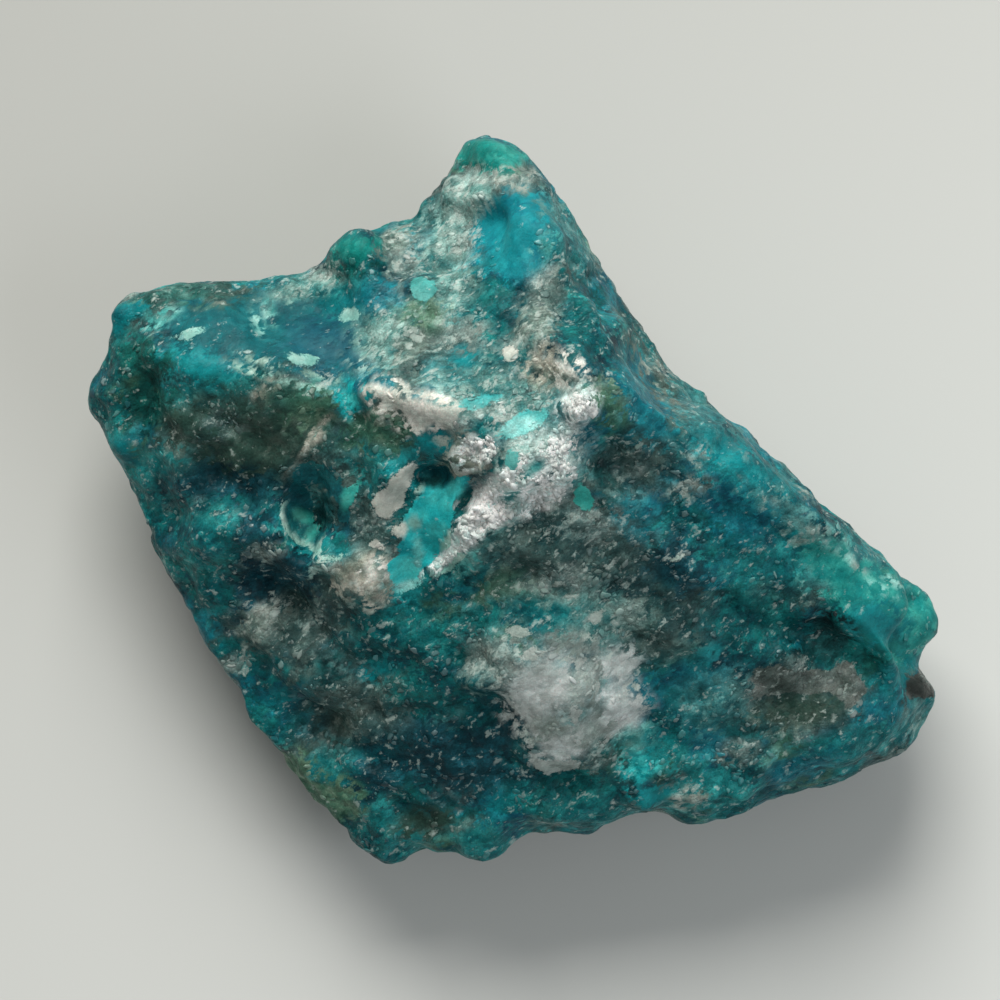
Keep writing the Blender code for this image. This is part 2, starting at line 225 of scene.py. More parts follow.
def rim_height(place):
    """The height of the widest line: level + tip * y + waves, less a bell-shaped dip at the knob."""
    apart = np.hypot(place[..., 0] - DARK_KNOB[0], place[..., 1] - DARK_KNOB[1])
    dip = DARK_KNOB_DIP * np.exp(-((apart / DARK_KNOB_REACH) ** 2))
    level = np.dstack([place, np.zeros(place.shape[:-1])])
    wavy = sum(height * waves(level, size, SEED) for size, height in RIM_WAVES)
    return RIM_LEVEL + RIM_TIP * place[..., 1] + wavy - dip


def face_heights(place, faces):
    """The height of each sloping face over each place: z plus the rise along x and along y."""
    return np.stack([
        z + (place[..., 0] - x) * along_x + (place[..., 1] - y) * along_y
        for (x, y, z), (along_x, along_y) in faces
    ])


def from_middle(place, x, y, length, width, degrees):
    """How far out each place is from the middle of a turned ellipse, as a share: 1 on its edge."""
    turn = np.radians(degrees)
    right = place[..., 0] - x
    up = place[..., 1] - y
    along = (right * np.cos(turn) + up * np.sin(turn)) / length
    aside = (up * np.cos(turn) - right * np.sin(turn)) / width
    return np.hypot(along, aside)


def forms_height(place):
    """The lumps and hollows: height * exp(-q ** squareness), where q is 1 on the form's ellipse."""
    total = 0
    for *ellipse, height, squareness in FORMS:
        total = total + height * np.exp(-from_middle(place, *ellipse) ** squareness)
    return total


def upper_height(place, inwards):
    """The show side: the lowest of its faces and edges at each place, softly joined, with its forms."""
    edges = [height + rise * reach for (height, rise), reach in zip(EDGES, inwards)]
    faces = np.concatenate([face_heights(place, UPPER_FACES), edges])
    return forms_height(place) - UPPER_BLEND * np.log(np.exp(-faces / UPPER_BLEND).sum(axis=0))


def lower_height(place, inwards):
    """The underside: the highest of its faces at each place, softly joined, under the widest line."""
    faces = face_heights(place, LOWER_FACES)
    height = LOWER_BLEND * np.log(np.exp(faces / LOWER_BLEND).sum(axis=0))
    return np.minimum(height, rim_height(place))


def bare_skin(height_at, squareness, cells):
    """A smooth skin: its grid lines, how far out each point is (1 at the rim), and its points.

    Its height is rim + (height - rim) * (1 - out ** squareness) ** (1 / squareness).
    """
    lines = grid_lines(squareness, cells)
    place, inwards = stretched_grid(lines)
    out = np.maximum(np.abs(lines)[:, None], np.abs(lines)[None, :])
    turnover = (1 - out**squareness) ** (1 / squareness)
    rim = rim_height(place)
    return lines, out, np.dstack([place, rim + (height_at(place, inwards) - rim) * turnover])


def averaged(values):
    """Values at the points of a skin: (2 * each + those of its four neighbours) / 6."""
    wide = np.pad(values, ((1, 1), (1, 1), (0, 0)), mode="edge")
    total = 2 * values + wide[2:, 1:-1] + wide[:-2, 1:-1] + wide[1:-1, 2:] + wide[1:-1, :-2]
    return total / 6


def outward(points, facing):
    """The direction out of a skin at each point, averaged with its neighbours' directions."""
    normal = np.cross(np.gradient(points, axis=0), np.gradient(points, axis=1))
    normal *= facing / np.linalg.norm(normal, axis=-1, keepdims=True)
    for _ in range(DIRECTION_ROUNDS):
        normal = averaged(normal)
        normal /= np.linalg.norm(normal, axis=-1, keepdims=True)
    return normal


def waves(points, size, seed):
    """Soft unevenness: many sine waves of one length that cross in all directions."""
    random = np.random.default_rng(seed)
    ways = random.normal(size=(3, WAVES))
    ways /= np.linalg.norm(ways, axis=0)
    starts = random.uniform(0, 2 * np.pi, WAVES)
    return np.sin(points @ ways * (2 * np.pi / size) + starts).sum(axis=-1) / np.sqrt(WAVES)


def scrambled(cell, seed):
    """Six even random numbers from 0 to 1 for each whole-numbered cell."""
    mixed = (cell.astype(np.int64) * SCRAMBLE_PLACE).sum(axis=-1) + seed * SCRAMBLE_SEED
    numbers = []
    for _ in range(6):
        mixed = (mixed * SCRAMBLE_TIMES + SCRAMBLE_PLUS) % SCRAMBLE_WITHIN
        numbers.append((mixed >> 8) % 65536 / 65536)
    return np.stack(numbers, axis=-1)


def chips(points, size, step, tilt, edge, seed):
    """Chipped faces: each point takes the step and tilt of the nearest chip, mixed near its edge."""
    home = np.floor(points / size)
    height = 0
    total = 0
    for move in itertools.product((-1, 0, 1), repeat=3):
        numbers = scrambled(home + move, seed)
        away = points - (home + move + numbers[..., :3]) * size
        nearness = np.exp(-(away**2).sum(axis=-1) / (size * edge))
        slope = ((numbers[..., 3:] - 0.5) * away).sum(axis=-1) * 2 * tilt
        height = height + nearness * (slope + (numbers[..., 3] - 0.5) * 2 * step)
        total = total + nearness
    return height / total


def soft_chips(points, chip, seed, rounds):
    """How far each point of a skin moves for its chip, averaged with its neighbours in rounds."""
    move = chips(points, *chip, seed)[..., None]
    for _ in range(rounds):
        move = averaged(move)
    return move[..., 0]


def chipped_skin(height_at, squareness, facing):
    """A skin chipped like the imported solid's: its points, directions out, and how far out they are."""
    coarse_lines, _, coarse = bare_skin(height_at, squareness, COARSE_CELLS)
    lines, out, points = bare_skin(height_at, squareness, CELLS)
    spread = np.stack([np.interp(lines, coarse_lines, row) for row in np.eye(COARSE_CELLS + 1)], axis=1)
    normal = np.einsum("ai,bj,ijk->abk", spread, spread, outward(coarse, facing))
    normal /= np.linalg.norm(normal, axis=-1, keepdims=True)
    steep = 1 - np.abs(normal[..., 2])
    move = soft_chips(points, CHIPS, SEED, CHIP_ROUNDS)
    move = move * (1 + WALL_CHIPPING * steep) - WALL_SETBACK * steep
    for size, height in zip(WAVE_SIZES, WAVE_HEIGHTS):
        move = move + height * waves(points, size, SEED)
    return points + normal * (move * (1 - out**RIM_FADE))[..., None], normal, out


# The stone's colours
# The minerals run into one another in patches: waxy turquoise in greens and blues, clear grey and
# milky quartz, cream and white crusts, and iron-stained matrix. They formed where the copper-rich
# water reached, so their edges wander, and each is mottled at a millimetre and less.

# Each mineral: its usual, dark and light colours; then from 0 to 1 how grainy, how glassy and how
# speckled with pale grains it is, how rugged (1.5 is a jumble of chips), and how soft its edge is as
# a share of its patch, where 0 is the clean edge of an inlay
MINERALS = {
    "bright turquoise": ("#20ADB0", "#128C92", "#50CBC7", 0.22, 0.3, 0.08, 0.30, 0.00),
    "blue turquoise": ("#0B7B84", "#096E7B", "#1E8F96", 0.10, 0.1, 0.04, 0.06, 0.08),
    "green turquoise": ("#0F7D75", "#086A63", "#3C9B8F", 0.18, 0.2, 0.10, 0.12, 0.22),
    "lobe turquoise": ("#127C78", "#0D6A69", "#3A9F94", 0.16, 0.3, 0.12, 0.10, 0.25),
    "pale turquoise": ("#50A39E", "#358883", "#78B9B1", 0.20, 0.2, 0.10, 0.25, 0.00),
    "pale cyan": ("#5CB3AF", "#2A9294", "#A6DAD4", 0.35, 0.3, 0.15, 0.60, 0.00),
    "pale teal": ("#4A9893", "#247C7D", "#8CC0B8", 0.36, 0.3, 0.18, 0.45, 0.50),
    "vivid teal": ("#07757A", "#045C63", "#1F878A", 0.30, 0.3, 0.12, 0.30, 0.30),
    "bright slope": ("#0A7A7E", "#066870", "#1F9194", 0.18, 0.2, 0.10, 0.15, 0.30),
    "pale crest": ("#8FB2A6", "#5F938B", "#B6CABF", 0.30, 0.3, 0.20, 0.45, 0.50),
    "bright glow": ("#139B9E", "#0B8086", "#48C2BE", 0.30, 0.3, 0.12, 0.30, 0.45),
    "pale flake": ("#7FB3AA", "#609990", "#A5C9C0", 0.15, 0.4, 0.10, 0.20, 0.00),
    "white flake": ("#B4B9B0", "#98A49C", "#CBCEC6", 0.15, 0.4, 0.10, 0.25, 0.00),
    "grey flake": ("#94A49D", "#73877F", "#ABB8B1", 0.20, 0.4, 0.10, 0.25, 0.00),
    "shoulder blue": ("#0B5A60", "#084C54", "#196B70", 0.14, 0.2, 0.12, 0.12, 0.15),
    "slate blue": ("#12505E", "#0D4452", "#205F69", 0.10, 0.2, 0.08, 0.12, 0.30),
    "leaf teal": ("#36A096", "#25827A", "#64BDAF", 0.15, 0.2, 0.10, 0.25, 0.00),
    "vug teal": ("#155C62", "#0F464F", "#2E7D7C", 0.45, 0.4, 0.12, 0.45, 0.00),
    "teal": ("#0F6E70", "#084F57", "#2B8C8A", 0.50, 0.4, 0.30, 0.45, 0.40),
    "blue teal": ("#096470", "#06495A", "#20848D", 0.45, 0.4, 0.22, 0.40, 0.40),
    "deep teal": ("#07585A", "#054048", "#187673", 0.56, 0.4, 0.28, 0.50, 0.40),
    "slate teal": ("#2D7072", "#1B5A60", "#5C918E", 0.55, 0.4, 0.30, 0.50, 0.45),
    "dark green": ("#09504B", "#063A38", "#196B63", 0.55, 0.3, 0.20, 0.50, 0.30),
    "grey green": ("#235953", "#194A45", "#477A72", 0.55, 0.3, 0.30, 0.50, 0.40),
    "navy": ("#0B3840", "#072D37", "#1A5662", 0.52, 0.4, 0.27, 0.50, 0.45),
    # The next mineral is painted shade where it lies in the vug, the ledge under the summit and the recess
    # under the lobe; near the lower left edge it is a dark spot on a lump
    "black pit": ("#103D3E", "#082427", "#226160", 0.50, 0.4, 0.15, 0.50, 0.25),
    "dark glass": ("#333A37", "#151A18", "#6F7975", 0.15, 0.9, 0.10, 0.25, 0.00),
    "dark quartz": ("#34504E", "#224344", "#607872", 0.54, 0.7, 0.34, 0.60, 0.45),
    "brown quartz": ("#2E4940", "#234039", "#485A51", 0.42, 0.6, 0.20, 0.60, 0.55),
    "smoky quartz": ("#596661", "#3A4843", "#838B85", 0.55, 0.8, 0.30, 0.50, 0.00),
    "grey quartz": ("#6A827E", "#3C5A57", "#97A69F", 0.65, 0.8, 0.50, 0.60, 0.40),
    "pale quartz": ("#6A7E76", "#4A655F", "#A4AFA7", 0.65, 0.9, 0.50, 0.60, 0.35),
    "eye quartz": ("#98A39E", "#8A9791", "#ABB4B0", 0.24, 0.7, 0.30, 0.26, 0.00),
    "eye grey": ("#87958F", "#788781", "#99A5A1", 0.30, 0.7, 0.35, 0.30, 0.50),
    "milky quartz": ("#B4BDBA", "#A1ACA8", "#C9D0CE", 0.22, 0.7, 0.25, 0.22, 0.42),
    "white crust": ("#E9EFEC", "#B0D3CE", "#FCFCFA", 0.40, 0.4, 0.20, 0.86, 0.30),
    "pale rim": ("#8BB5AA", "#659D94", "#C2D6CC", 0.30, 0.3, 0.20, 0.60, 0.00),
    "cream": ("#D3D4CA", "#B4BDB3", "#EEEDE5", 0.30, 0.3, 0.20, 0.55, 0.22),
    "tan": ("#8E9386", "#5E7267", "#BCBBAE", 0.50, 0.4, 0.35, 0.62, 0.40),
    "pink beige": ("#86958E", "#577570", "#B9BDB4", 0.45, 0.4, 0.40, 0.60, 0.50),
    "rusty": ("#455A54", "#2F4B46", "#76847B", 0.55, 0.4, 0.30, 0.60, 0.45),
    "olive": ("#3C6855", "#285346", "#63826C", 0.48, 0.4, 0.22, 0.60, 0.50),
    "sugar": ("#5C8882", "#2A6C6C", "#A0BCB4", 0.62, 0.7, 0.50, 0.56, 0.50),
    "pale sugar": ("#9AB6AF", "#609790", "#D2DED8", 0.58, 0.7, 0.50, 0.66, 0.50),
}

# The places of the natures in a mineral's looks, after its red, green and blue
GRAINY, GLASSY, SPECKLED, RUGGED = 3, 4, 5, 6

# What lies everywhere under the patches, on all sides: the ground, and in it each vein's size and
# the value above which its noise shows
GROUND = "deep teal"
VEINS = (("teal", 3.1, 0.05), ("dark quartz", 3.7, 0.22), ("navy", 2.7, 0.35), ("olive", 3.3, 0.50),
         ("blue teal", 2.2, 0.32), ("grey quartz", 2.0, 0.52), ("vivid teal", 1.7, 0.52))
VEIN_EDGE = 0.2
# The finer noise in a vein's: its size as a share of the vein's, and its strength
VEIN_FRAYS = (0.4, 0.5)
VEIN_SEEDS = (60, 80)

# The patches of the show side from the bottom one up: mineral, x, y, half length, half width, turn
PATCHES = (
    # Tip
    ("green turquoise", -0.8, 12.3, 1.35, 0.60, 0),
    ("pink beige", 0.0, 11.5, 0.92, 0.28, 0),
    ("pale sugar", -1.8, 10.5, 1.20, 0.85, 40),
    ("sugar", -2.4, 8.5, 0.92, 1.70, 0),
    ("blue turquoise", 0.08, 9.6, 1.46, 1.60, 0),
    ("pale teal", 1.05, 9.0, 0.40, 0.55, -10),
    ("grey quartz", -1.65, 9.25, 0.42, 0.46, 0),
    ("slate teal", 2.1, 9.4, 0.46, 2.12, 32),
    ("grey quartz", 1.2, 7.3, 0.85, 0.99, 0),
    ("pale quartz", 0.8, 6.4, 0.57, 0.71, 10),
    ("deep teal", 2.4, 6.5, 0.71, 1.27, 0),
    ("blue teal", 3.2, 7.5, 0.46, 0.78, 20),
    ("deep teal", -0.8, 6.5, 0.71, 0.92, 0),
    ("slate teal", -1.6, 6.2, 0.55, 0.60, 0),
    ("dark quartz", 1.6, 7.5, 0.45, 0.60, 0),
    ("pale turquoise", -3.25, 7.6, 0.50, 0.36, 0),
    ("blue teal", -4.8, 7.3, 0.99, 0.64, 0),
    # Upper left shoulder
    ("shoulder blue", -8.9, 6.1, 3.96, 1.10, -2),
    ("slate blue", -6.7, 5.6, 1.49, 0.92, -10),
    ("bright slope", -10.9, 4.8, 1.30, 0.62, -14),
    ("dark green", -13.1, 4.9, 0.92, 0.71, 0),
    ("pale teal", -12.8, 6.5, 0.50, 0.25, 0),
    ("grey green", -11.3, 7.4, 2.69, 0.32, 2),
    ("rusty", -10.1, 7.4, 0.71, 0.18, 0),
    ("sugar", -7.6, 7.5, 1.20, 0.42, 15),
    ("green turquoise", -5.7, 9.0, 0.85, 0.60, 10),
    ("dark green", -5.7, 8.2, 0.85, 0.11, 8),
    ("pale quartz", -4.1, 9.2, 0.64, 0.53, 10),
    ("pale crest", -9.1, 4.80, 1.05, 0.16, -22),
    ("tan", -8.6, 3.9, 0.45, 0.30, 0),
    ("slate teal", -8.0, 3.6, 0.55, 0.36, -15),
    ("pale crest", -7.1, 4.25, 1.20, 0.17, -16),
    ("pale teal", -7.1, 3.9, 0.62, 0.36, -20),
    ("bright glow", -5.85, 3.80, 0.45, 0.75, 40),
    ("pale flake", -7.50, 5.10, 0.55, 0.20, -8),
    ("pale flake", -5.80, 6.60, 0.40, 0.27, 5),
    ("pale teal", -8.80, 6.55, 0.24, 0.44, 15),
    ("pale flake", -11.6, 5.95, 0.50, 0.15, 18),
    ("pale teal", -12.6, 6.55, 0.60, 0.26, 5),
    ("sugar", -4.6, 5.8, 1.06, 0.99, 0),
    ("pale quartz", -3.7, 5.4, 0.50, 0.57, 0),
    ("slate teal", -2.5, 4.5, 0.80, 0.40, 0),
    # Crest and summit
    ("grey quartz", -2.1, 5.6, 0.85, 0.85, 0),
    ("sugar", -0.8, 3.6, 2.05, 1.06, -10),
    ("cream", -4.5, 3.8, 0.80, 0.45, -35),
    ("cream", -2.9, 3.3, 1.10, 0.50, -20),
    ("cream", -3.6, 2.95, 0.60, 0.40, -20),
    ("tan", -4.9, 3.0, 0.50, 0.36, -30),
    ("tan", 1.0, 4.8, 0.90, 0.58, -60),
    ("cream", 1.9, 4.65, 0.80, 0.42, -50),
    ("dark quartz", 0.6, 4.2, 0.32, 0.24, -50),
    ("olive", 3.3, 3.8, 0.42, 0.64, 0),
    ("dark quartz", 1.6, -1.6, 2.97, 1.49, 0),
    ("grey quartz", 2.7, -0.6, 0.92, 0.64, 0),
    ("grey quartz", 1.5, -2.8, 0.95, 0.46, 0),
    ("dark quartz", 3.5, -2.2, 1.42, 0.85, 0),
    ("tan", -1.9, 1.6, 0.80, 0.80, 0),
    ("white crust", -1.5, 1.85, 0.66, 0.52, 20),
    ("pale sugar", -0.9, 3.0, 0.80, 0.42, 0),
    ("pale sugar", 0.9, 1.5, 1.60, 1.10, 20),
    ("teal", -1.2, 2.6, 0.60, 0.40, 30),
    ("white flake", -0.20, 5.30, 0.32, 0.26, 60),
    ("grey flake", -2.20, 5.35, 0.30, 0.16, -40),
    ("grey flake", -3.45, 5.90, 0.30, 0.22, -20),
    ("pale cyan", 0.3, 2.8, 0.95, 0.34, 25),
    ("grey quartz", 2.2, 4.05, 0.60, 0.20, -10),
    ("white crust", 2.25, 3.35, 0.62, 0.52, 0),
    ("white crust", 1.6, 2.2, 0.55, 0.46, 30),
    ("white crust", 0.2, 0.5, 1.75, 0.88, 24),
    ("white crust", -0.9, -0.2, 0.85, 0.62, 35),
    ("pale teal", 0.5, 1.1, 0.45, 0.22, 25),
    ("deep teal", 1.1, 0.9, 0.16, 0.30, -20),
    ("pale teal", -0.3, 0.1, 0.40, 0.16, 35),
    ("slate teal", 2.4, 1.15, 0.45, 0.45, 0),
    ("leaf teal", 2.40, 0.25, 0.30, 0.60, 12),
    ("pale turquoise", -0.1, 1.5, 0.26, 0.36, 10),
    ("deep teal", -0.7, 1.4, 0.20, 0.50, -20),
    ("pale cyan", -1.2, 3.6, 0.71, 0.22, 10),
    ("vivid teal", -2.0, 5.0, 0.55, 0.40, 0),
    # Painted shade in the ledge under the summit
    ("black pit", 3.2, 0.9, 0.57, 0.92, 0),
    ("dark quartz", 4.6, 1.2, 1.56, 0.99, -20),
    ("grey quartz", 4.1, 1.1, 0.39, 0.35, 0),
    # Long face on the left
    ("brown quartz", -9.3, 2.2, 2.90, 1.56, 0),
    ("dark quartz", -10.3, 2.8, 0.71, 0.32, -30),
    ("olive", -7.4, 3.4, 1.06, 0.71, -30),
    ("olive", -4.9, 2.4, 1.13, 0.64, -20),
    ("tan", -7.3, 2.0, 0.21, 1.17, -28),
    ("vivid teal", -3.2, 2.0, 0.72, 0.56, -20),
    ("deep teal", -14.4, 3.4, 0.71, 0.92, 0),
    ("dark green", -12.9, 3.5, 0.92, 0.92, 0),
    ("teal", -12.7, 1.0, 0.92, 1.06, 0),
    ("navy", -10.6, 0.5, 2.12, 0.85, 0),
    ("brown quartz", -11.8, 2.9, 0.71, 0.57, 0),
    ("teal", -10.8, -1.1, 1.10, 0.85, 0),
    ("deep teal", -10.4, -0.1, 0.70, 0.36, 0),
    ("navy", -9.3, -0.9, 0.50, 0.85, 0),
    ("navy", -8.9, -2.7, 1.13, 0.64, 0),
    ("grey quartz", -8.9, -1.9, 0.60, 0.28, 0),
    ("deep teal", -10.7, -3.1, 0.85, 0.92, 0),
    ("pale quartz", -8.8, -4.1, 1.06, 0.67, -20),
    ("grey quartz", -7.2, -4.2, 0.42, 0.32, 0),
    ("navy", -9.4, -3.3, 0.60, 0.45, 0),
    # Deep vug: partly painted shade on its upper wall and inside, partly painted light on its lower wall
    ("dark quartz", -5.5, -0.7, 0.95, 1.00, 0),
    ("grey quartz", -4.9, -0.8, 0.55, 0.60, 0),
    ("pale rim", -7.09, -0.22, 1.27, 1.53, 0),
    # Dark quartz over the vug's upper wall, partly painted shade where the wall lies in shadow
    ("dark quartz", -6.75, 0.55, 1.35, 1.25, 0),
    ("vug teal", -6.95, -0.12, 1.20, 1.45, 0),
    ("slate teal", -6.9, 0.35, 0.36, 0.36, 0),
    ("leaf teal", -5.75, 0.35, 0.20, 0.44, -30),
    # Painted shade inside the vug
    ("black pit", -6.75, -0.45, 0.50, 0.62, 0),
    ("navy", -6.25, -1.05, 0.45, 0.50, 0),
    # Leaf teal and pale rim on the vug's lower wall and edge, partly painted light where they face the light
    ("leaf teal", -7.45, -0.45, 0.30, 0.16, -25),
    ("leaf teal", -7.15, -1.05, 0.13, 0.30, -35),
    ("slate teal", -6.35, 0.05, 0.16, 0.32, 20),
    ("pale rim", -7.0, -1.75, 0.12, 0.36, -35),
    ("sugar", -6.9, -2.3, 0.30, 0.36, 0),
    ("deep teal", -6.5, -1.5, 0.36, 0.30, 0),
    # Bright vein with its pits and chips
    ("deep teal", -2.4, -2.6, 1.20, 0.64, 0),
    ("tan", -5.3, -2.6, 0.85, 1.00, 0),
    ("tan", -6.0, -2.7, 0.45, 0.50, 0),
    ("cream", -5.1, -2.5, 0.45, 0.50, 0),
    ("pale rim", -6.4, -1.95, 0.45, 0.07, 15),
    ("pale teal", -1.6, -2.1, 0.50, 0.30, 0),
    ("pale rim", -2.2, -1.6, 1.30, 0.46, 46),
    ("white crust", -1.7, -1.1, 0.55, 0.42, 60),
    ("white crust", -2.6, -2.0, 0.70, 0.26, 40),
    ("pale rim", -2.6, 0.55, 1.00, 0.22, 10),
    ("bright turquoise", -3.05, -0.85, 1.85, 0.74, 58),
    ("bright turquoise", -2.1, 0.50, 0.62, 0.34, 30),
    ("bright turquoise", -3.9, -2.3, 0.62, 0.55, 45),
    ("pale cyan", -3.4, -1.65, 0.12, 0.34, 0),
    ("pale cyan", -3.9, -3.0, 0.60, 0.15, 20),
    ("white flake", -4.38, 0.08, 0.68, 0.50, 42),
    ("white flake", -4.10, 0.55, 0.66, 0.38, 56),
    ("white flake", -3.82, 1.00, 0.55, 0.17, 62),
    ("white flake", -4.10, -0.95, 0.26, 0.22, 20),
    ("pale flake", -3.55, -0.75, 0.18, 0.15, 0),
    ("white flake", -4.90, -1.50, 0.26, 0.15, -30),
    ("vug teal", -2.75, 0.95, 0.62, 0.38, -10),
    ("vug teal", -1.65, 0.20, 0.52, 0.20, 65),
    # Lower left
    ("dark quartz", -6.1, -7.0, 1.56, 1.91, 0),
    ("dark quartz", -7.6, -5.2, 1.27, 0.78, -50),
    ("black pit", -6.7, -5.9, 0.75, 0.60, 0),
    ("rusty", -6.1, -7.8, 0.65, 0.55, 0),
    ("deep teal", -3.6, -4.8, 2.19, 1.27, 0),
    ("tan", -4.8, -3.4, 0.42, 0.42, 0),
    ("vivid teal", -4.7, -5.8, 0.60, 0.42, 0),
    ("deep teal", -2.8, -6.6, 1.56, 0.92, 0),
    ("navy", -2.2, -9.0, 2.62, 1.49, -10),
    ("navy", -4.8, -9.8, 0.70, 0.60, 0),
    ("teal", -4.3, -12.4, 0.71, 0.50, 0),
    ("brown quartz", -3.2, -11.4, 0.99, 0.50, 0),
    ("teal", -1.0, -12.0, 1.35, 0.46, 0),
    ("deep teal", 2.1, -10.5, 2.12, 0.99, 0),
    ("teal", 2.7, -11.1, 1.42, 0.50, 0),
    ("teal", 6.7, -10.4, 2.19, 0.64, 10),
    # Wide face on the lower right, with the milky quartz eye
    ("dark quartz", 5.0, -4.3, 1.56, 1.42, 0),
    ("navy", 5.7, -2.4, 1.13, 0.78, 0),
    ("navy", 5.9, -1.5, 0.70, 0.70, 0),
    ("teal", 5.5, -7.8, 0.64, 1.13, 0),
    ("blue teal", 6.6, -6.3, 1.20, 0.57, 0),
    ("deep teal", 8.3, -4.2, 1.91, 1.27, 0),
    ("teal", 9.1, -2.0, 2.05, 0.92, -20),
    ("slate teal", 7.3, -7.1, 1.49, 1.06, 0),
    ("grey quartz", 7.8, -8.8, 0.71, 0.35, 0),
    ("pale teal", 9.1, -9.3, 0.35, 0.50, 0),
    ("pale quartz", 6.2, -10.5, 0.46, 0.32, 0),
    ("blue teal", 10.1, -9.4, 1.63, 0.50, 12),
    ("sugar", 1.6, -3.9, 2.69, 0.78, -4),
    ("teal", 0.9, -3.9, 1.63, 0.42, -6),
    ("deep teal", -1.1, -4.0, 0.60, 0.46, 0),
    ("grey quartz", -0.7, -5.6, 0.90, 0.90, 0),
    ("eye quartz", 2.05, -6.85, 2.50, 2.15, -16),
    ("eye quartz", 1.6, -8.7, 1.05, 0.95, -30),
    ("eye quartz", 0.55, -7.4, 1.15, 0.80, -54),
    ("milky quartz", 1.05, -6.60, 1.30, 1.20, 0),
    ("milky quartz", 0.7, -8.0, 0.42, 1.30, 36),
    ("milky quartz", 3.65, -7.30, 0.92, 0.98, 0),
    ("milky quartz", 3.5, -5.7, 0.90, 0.62, 0),
    ("milky quartz", 2.0, -8.5, 0.60, 0.58, 0),
    ("eye grey", 2.55, -6.5, 0.26, 1.10, -8),
    ("eye grey", 1.2, -8.0, 0.75, 0.40, 20),
    ("eye grey", 2.7, -8.1, 0.60, 0.62, 0),
    ("eye grey", 1.9, -5.0, 1.20, 0.40, -8),
    ("grey green", 3.5, -9.2, 0.80, 0.42, 10),
    ("grey quartz", 2.9, -9.1, 0.50, 0.42, 0),
    ("pale teal", 4.2, -8.4, 0.55, 0.55, 0),
    ("bright glow", 4.5, -9.3, 0.46, 0.55, 0),
    ("bright glow", 4.45, -10.1, 0.26, 0.62, 0),
    ("bright slope", 4.9, -10.5, 0.55, 0.40, 0),
    ("grey flake", 2.95, -4.05, 0.34, 0.17, 50),
    ("grey flake", 0.10, -4.55, 0.40, 0.20, -20),
    ("grey flake", 2.60, -4.75, 0.30, 0.15, -30),
    ("grey flake", 5.80, -1.90, 0.34, 0.12, 30),
    # Right crest
    ("blue teal", 4.5, 3.5, 0.78, 1.63, 28),
    ("slate teal", 6.7, 2.9, 0.67, 2.19, 48),
    ("rusty", 5.2, 4.3, 0.28, 2.19, 30),
    ("pale quartz", 5.0, 4.8, 0.18, 0.57, 36),
    # The thin pale teal line on the crest is partly painted highlight
    ("pale teal", 7.4, 1.8, 1.20, 0.16, -30),
    ("vivid teal", 8.2, 1.2, 2.30, 0.62, -33),
    ("blue teal", 7.4, -0.1, 2.19, 0.78, -30),
    ("grey quartz", 6.2, 0.5, 0.71, 0.32, 0),
    ("slate teal", 10.1, -0.6, 1.84, 0.42, -40),
    ("slate teal", 12.5, -1.9, 0.92, 0.39, -38),
    # Pink beige and pale teal along the crest, where it faces the light, are partly painted highlight
    ("pink beige", 10.4, -1.2, 0.42, 0.21, 0),
    ("pink beige", 12.1, -2.0, 0.62, 0.18, -30),
    ("pale teal", 11.7, -2.9, 1.56, 0.50, -12),
    ("pale teal", 11.7, -1.5, 0.60, 0.26, -36),
    # Right end
    ("lobe turquoise", 11.6, -2.6, 1.90, 0.85, -36),
    ("lobe turquoise", 13.2, -3.9, 1.90, 1.75, -20),
    ("bright slope", 12.8, -4.3, 1.10, 0.60, -16),
    # Painted highlight on the lobe
    ("pale teal", 13.2, -2.9, 0.60, 0.20, -30),
    ("dark quartz", 10.3, -7.2, 2.20, 1.10, 4),
    # Painted shadow in the recess that the lobe overhangs
    ("black pit", 11.2, -4.6, 0.85, 0.62, -24),
    ("black pit", 10.6, -5.3, 1.30, 0.34, -4),
    # Dark green below the lobe: painted shadow of the lobe
    ("dark green", 12.7, -5.9, 0.60, 0.55, 0),
    ("vivid teal", 13.3, -6.6, 0.60, 1.00, 0),
    ("blue teal", 13.0, -7.4, 0.92, 0.60, 0),
    ("smoky quartz", 10.3, -6.50, 1.80, 0.62, 8),
    ("smoky quartz", 9.2, -6.15, 0.95, 0.45, 0),
    ("smoky quartz", 11.7, -6.35, 0.68, 0.80, 0),
    ("brown quartz", 10.1, -7.30, 1.35, 0.58, 8),
    ("teal", 12.5, -8.3, 1.35, 0.64, 16),
    ("dark glass", 14.5, -6.5, 0.60, 0.62, 0),
    # Painted highlight on the top of the glassy dark knob
    ("smoky quartz", 14.65, -6.15, 0.32, 0.15, -40),
    ("slate teal", 14.3, -7.6, 0.50, 0.60, 0),
)

# How far noise moves the patches' edges, by the size of the noise
EDGE_WANDER = ((1.8, 0.26), (0.65, 0.16), (0.28, 0.05))
WANDER_SEEDS = (100, 110)
# Patches of at least this half width wander in full
WANDER_FULL = 0.9
# The width over which an inlay's cover runs from 0 to 1, and the cover over which it hides what is
# below it
EDGE_RAMP = 0.5
INLAY_HIDES = (0.25, 0.5)
# Patches fade out where the skin turns down: from 0 to 1 as its direction rises between these
SHOW_SLOPE = (-0.05, 0.15)
# How far to either side a grain may take its colour from
MOSAIC_REACH = (0.20, 0.16, 0.10)
# Sizes of the mottling inside a mineral, with the strength of each
MOTTLE = ((1.3, 0.6), (0.6, 0.7), (0.3, 0.7))
MOTTLE_CONTRAST = 1.25
MOTTLE_SEED = 40
# The camera is this far over the widest line, so that what stands higher looks larger
CAMERA_REACH = 280.0


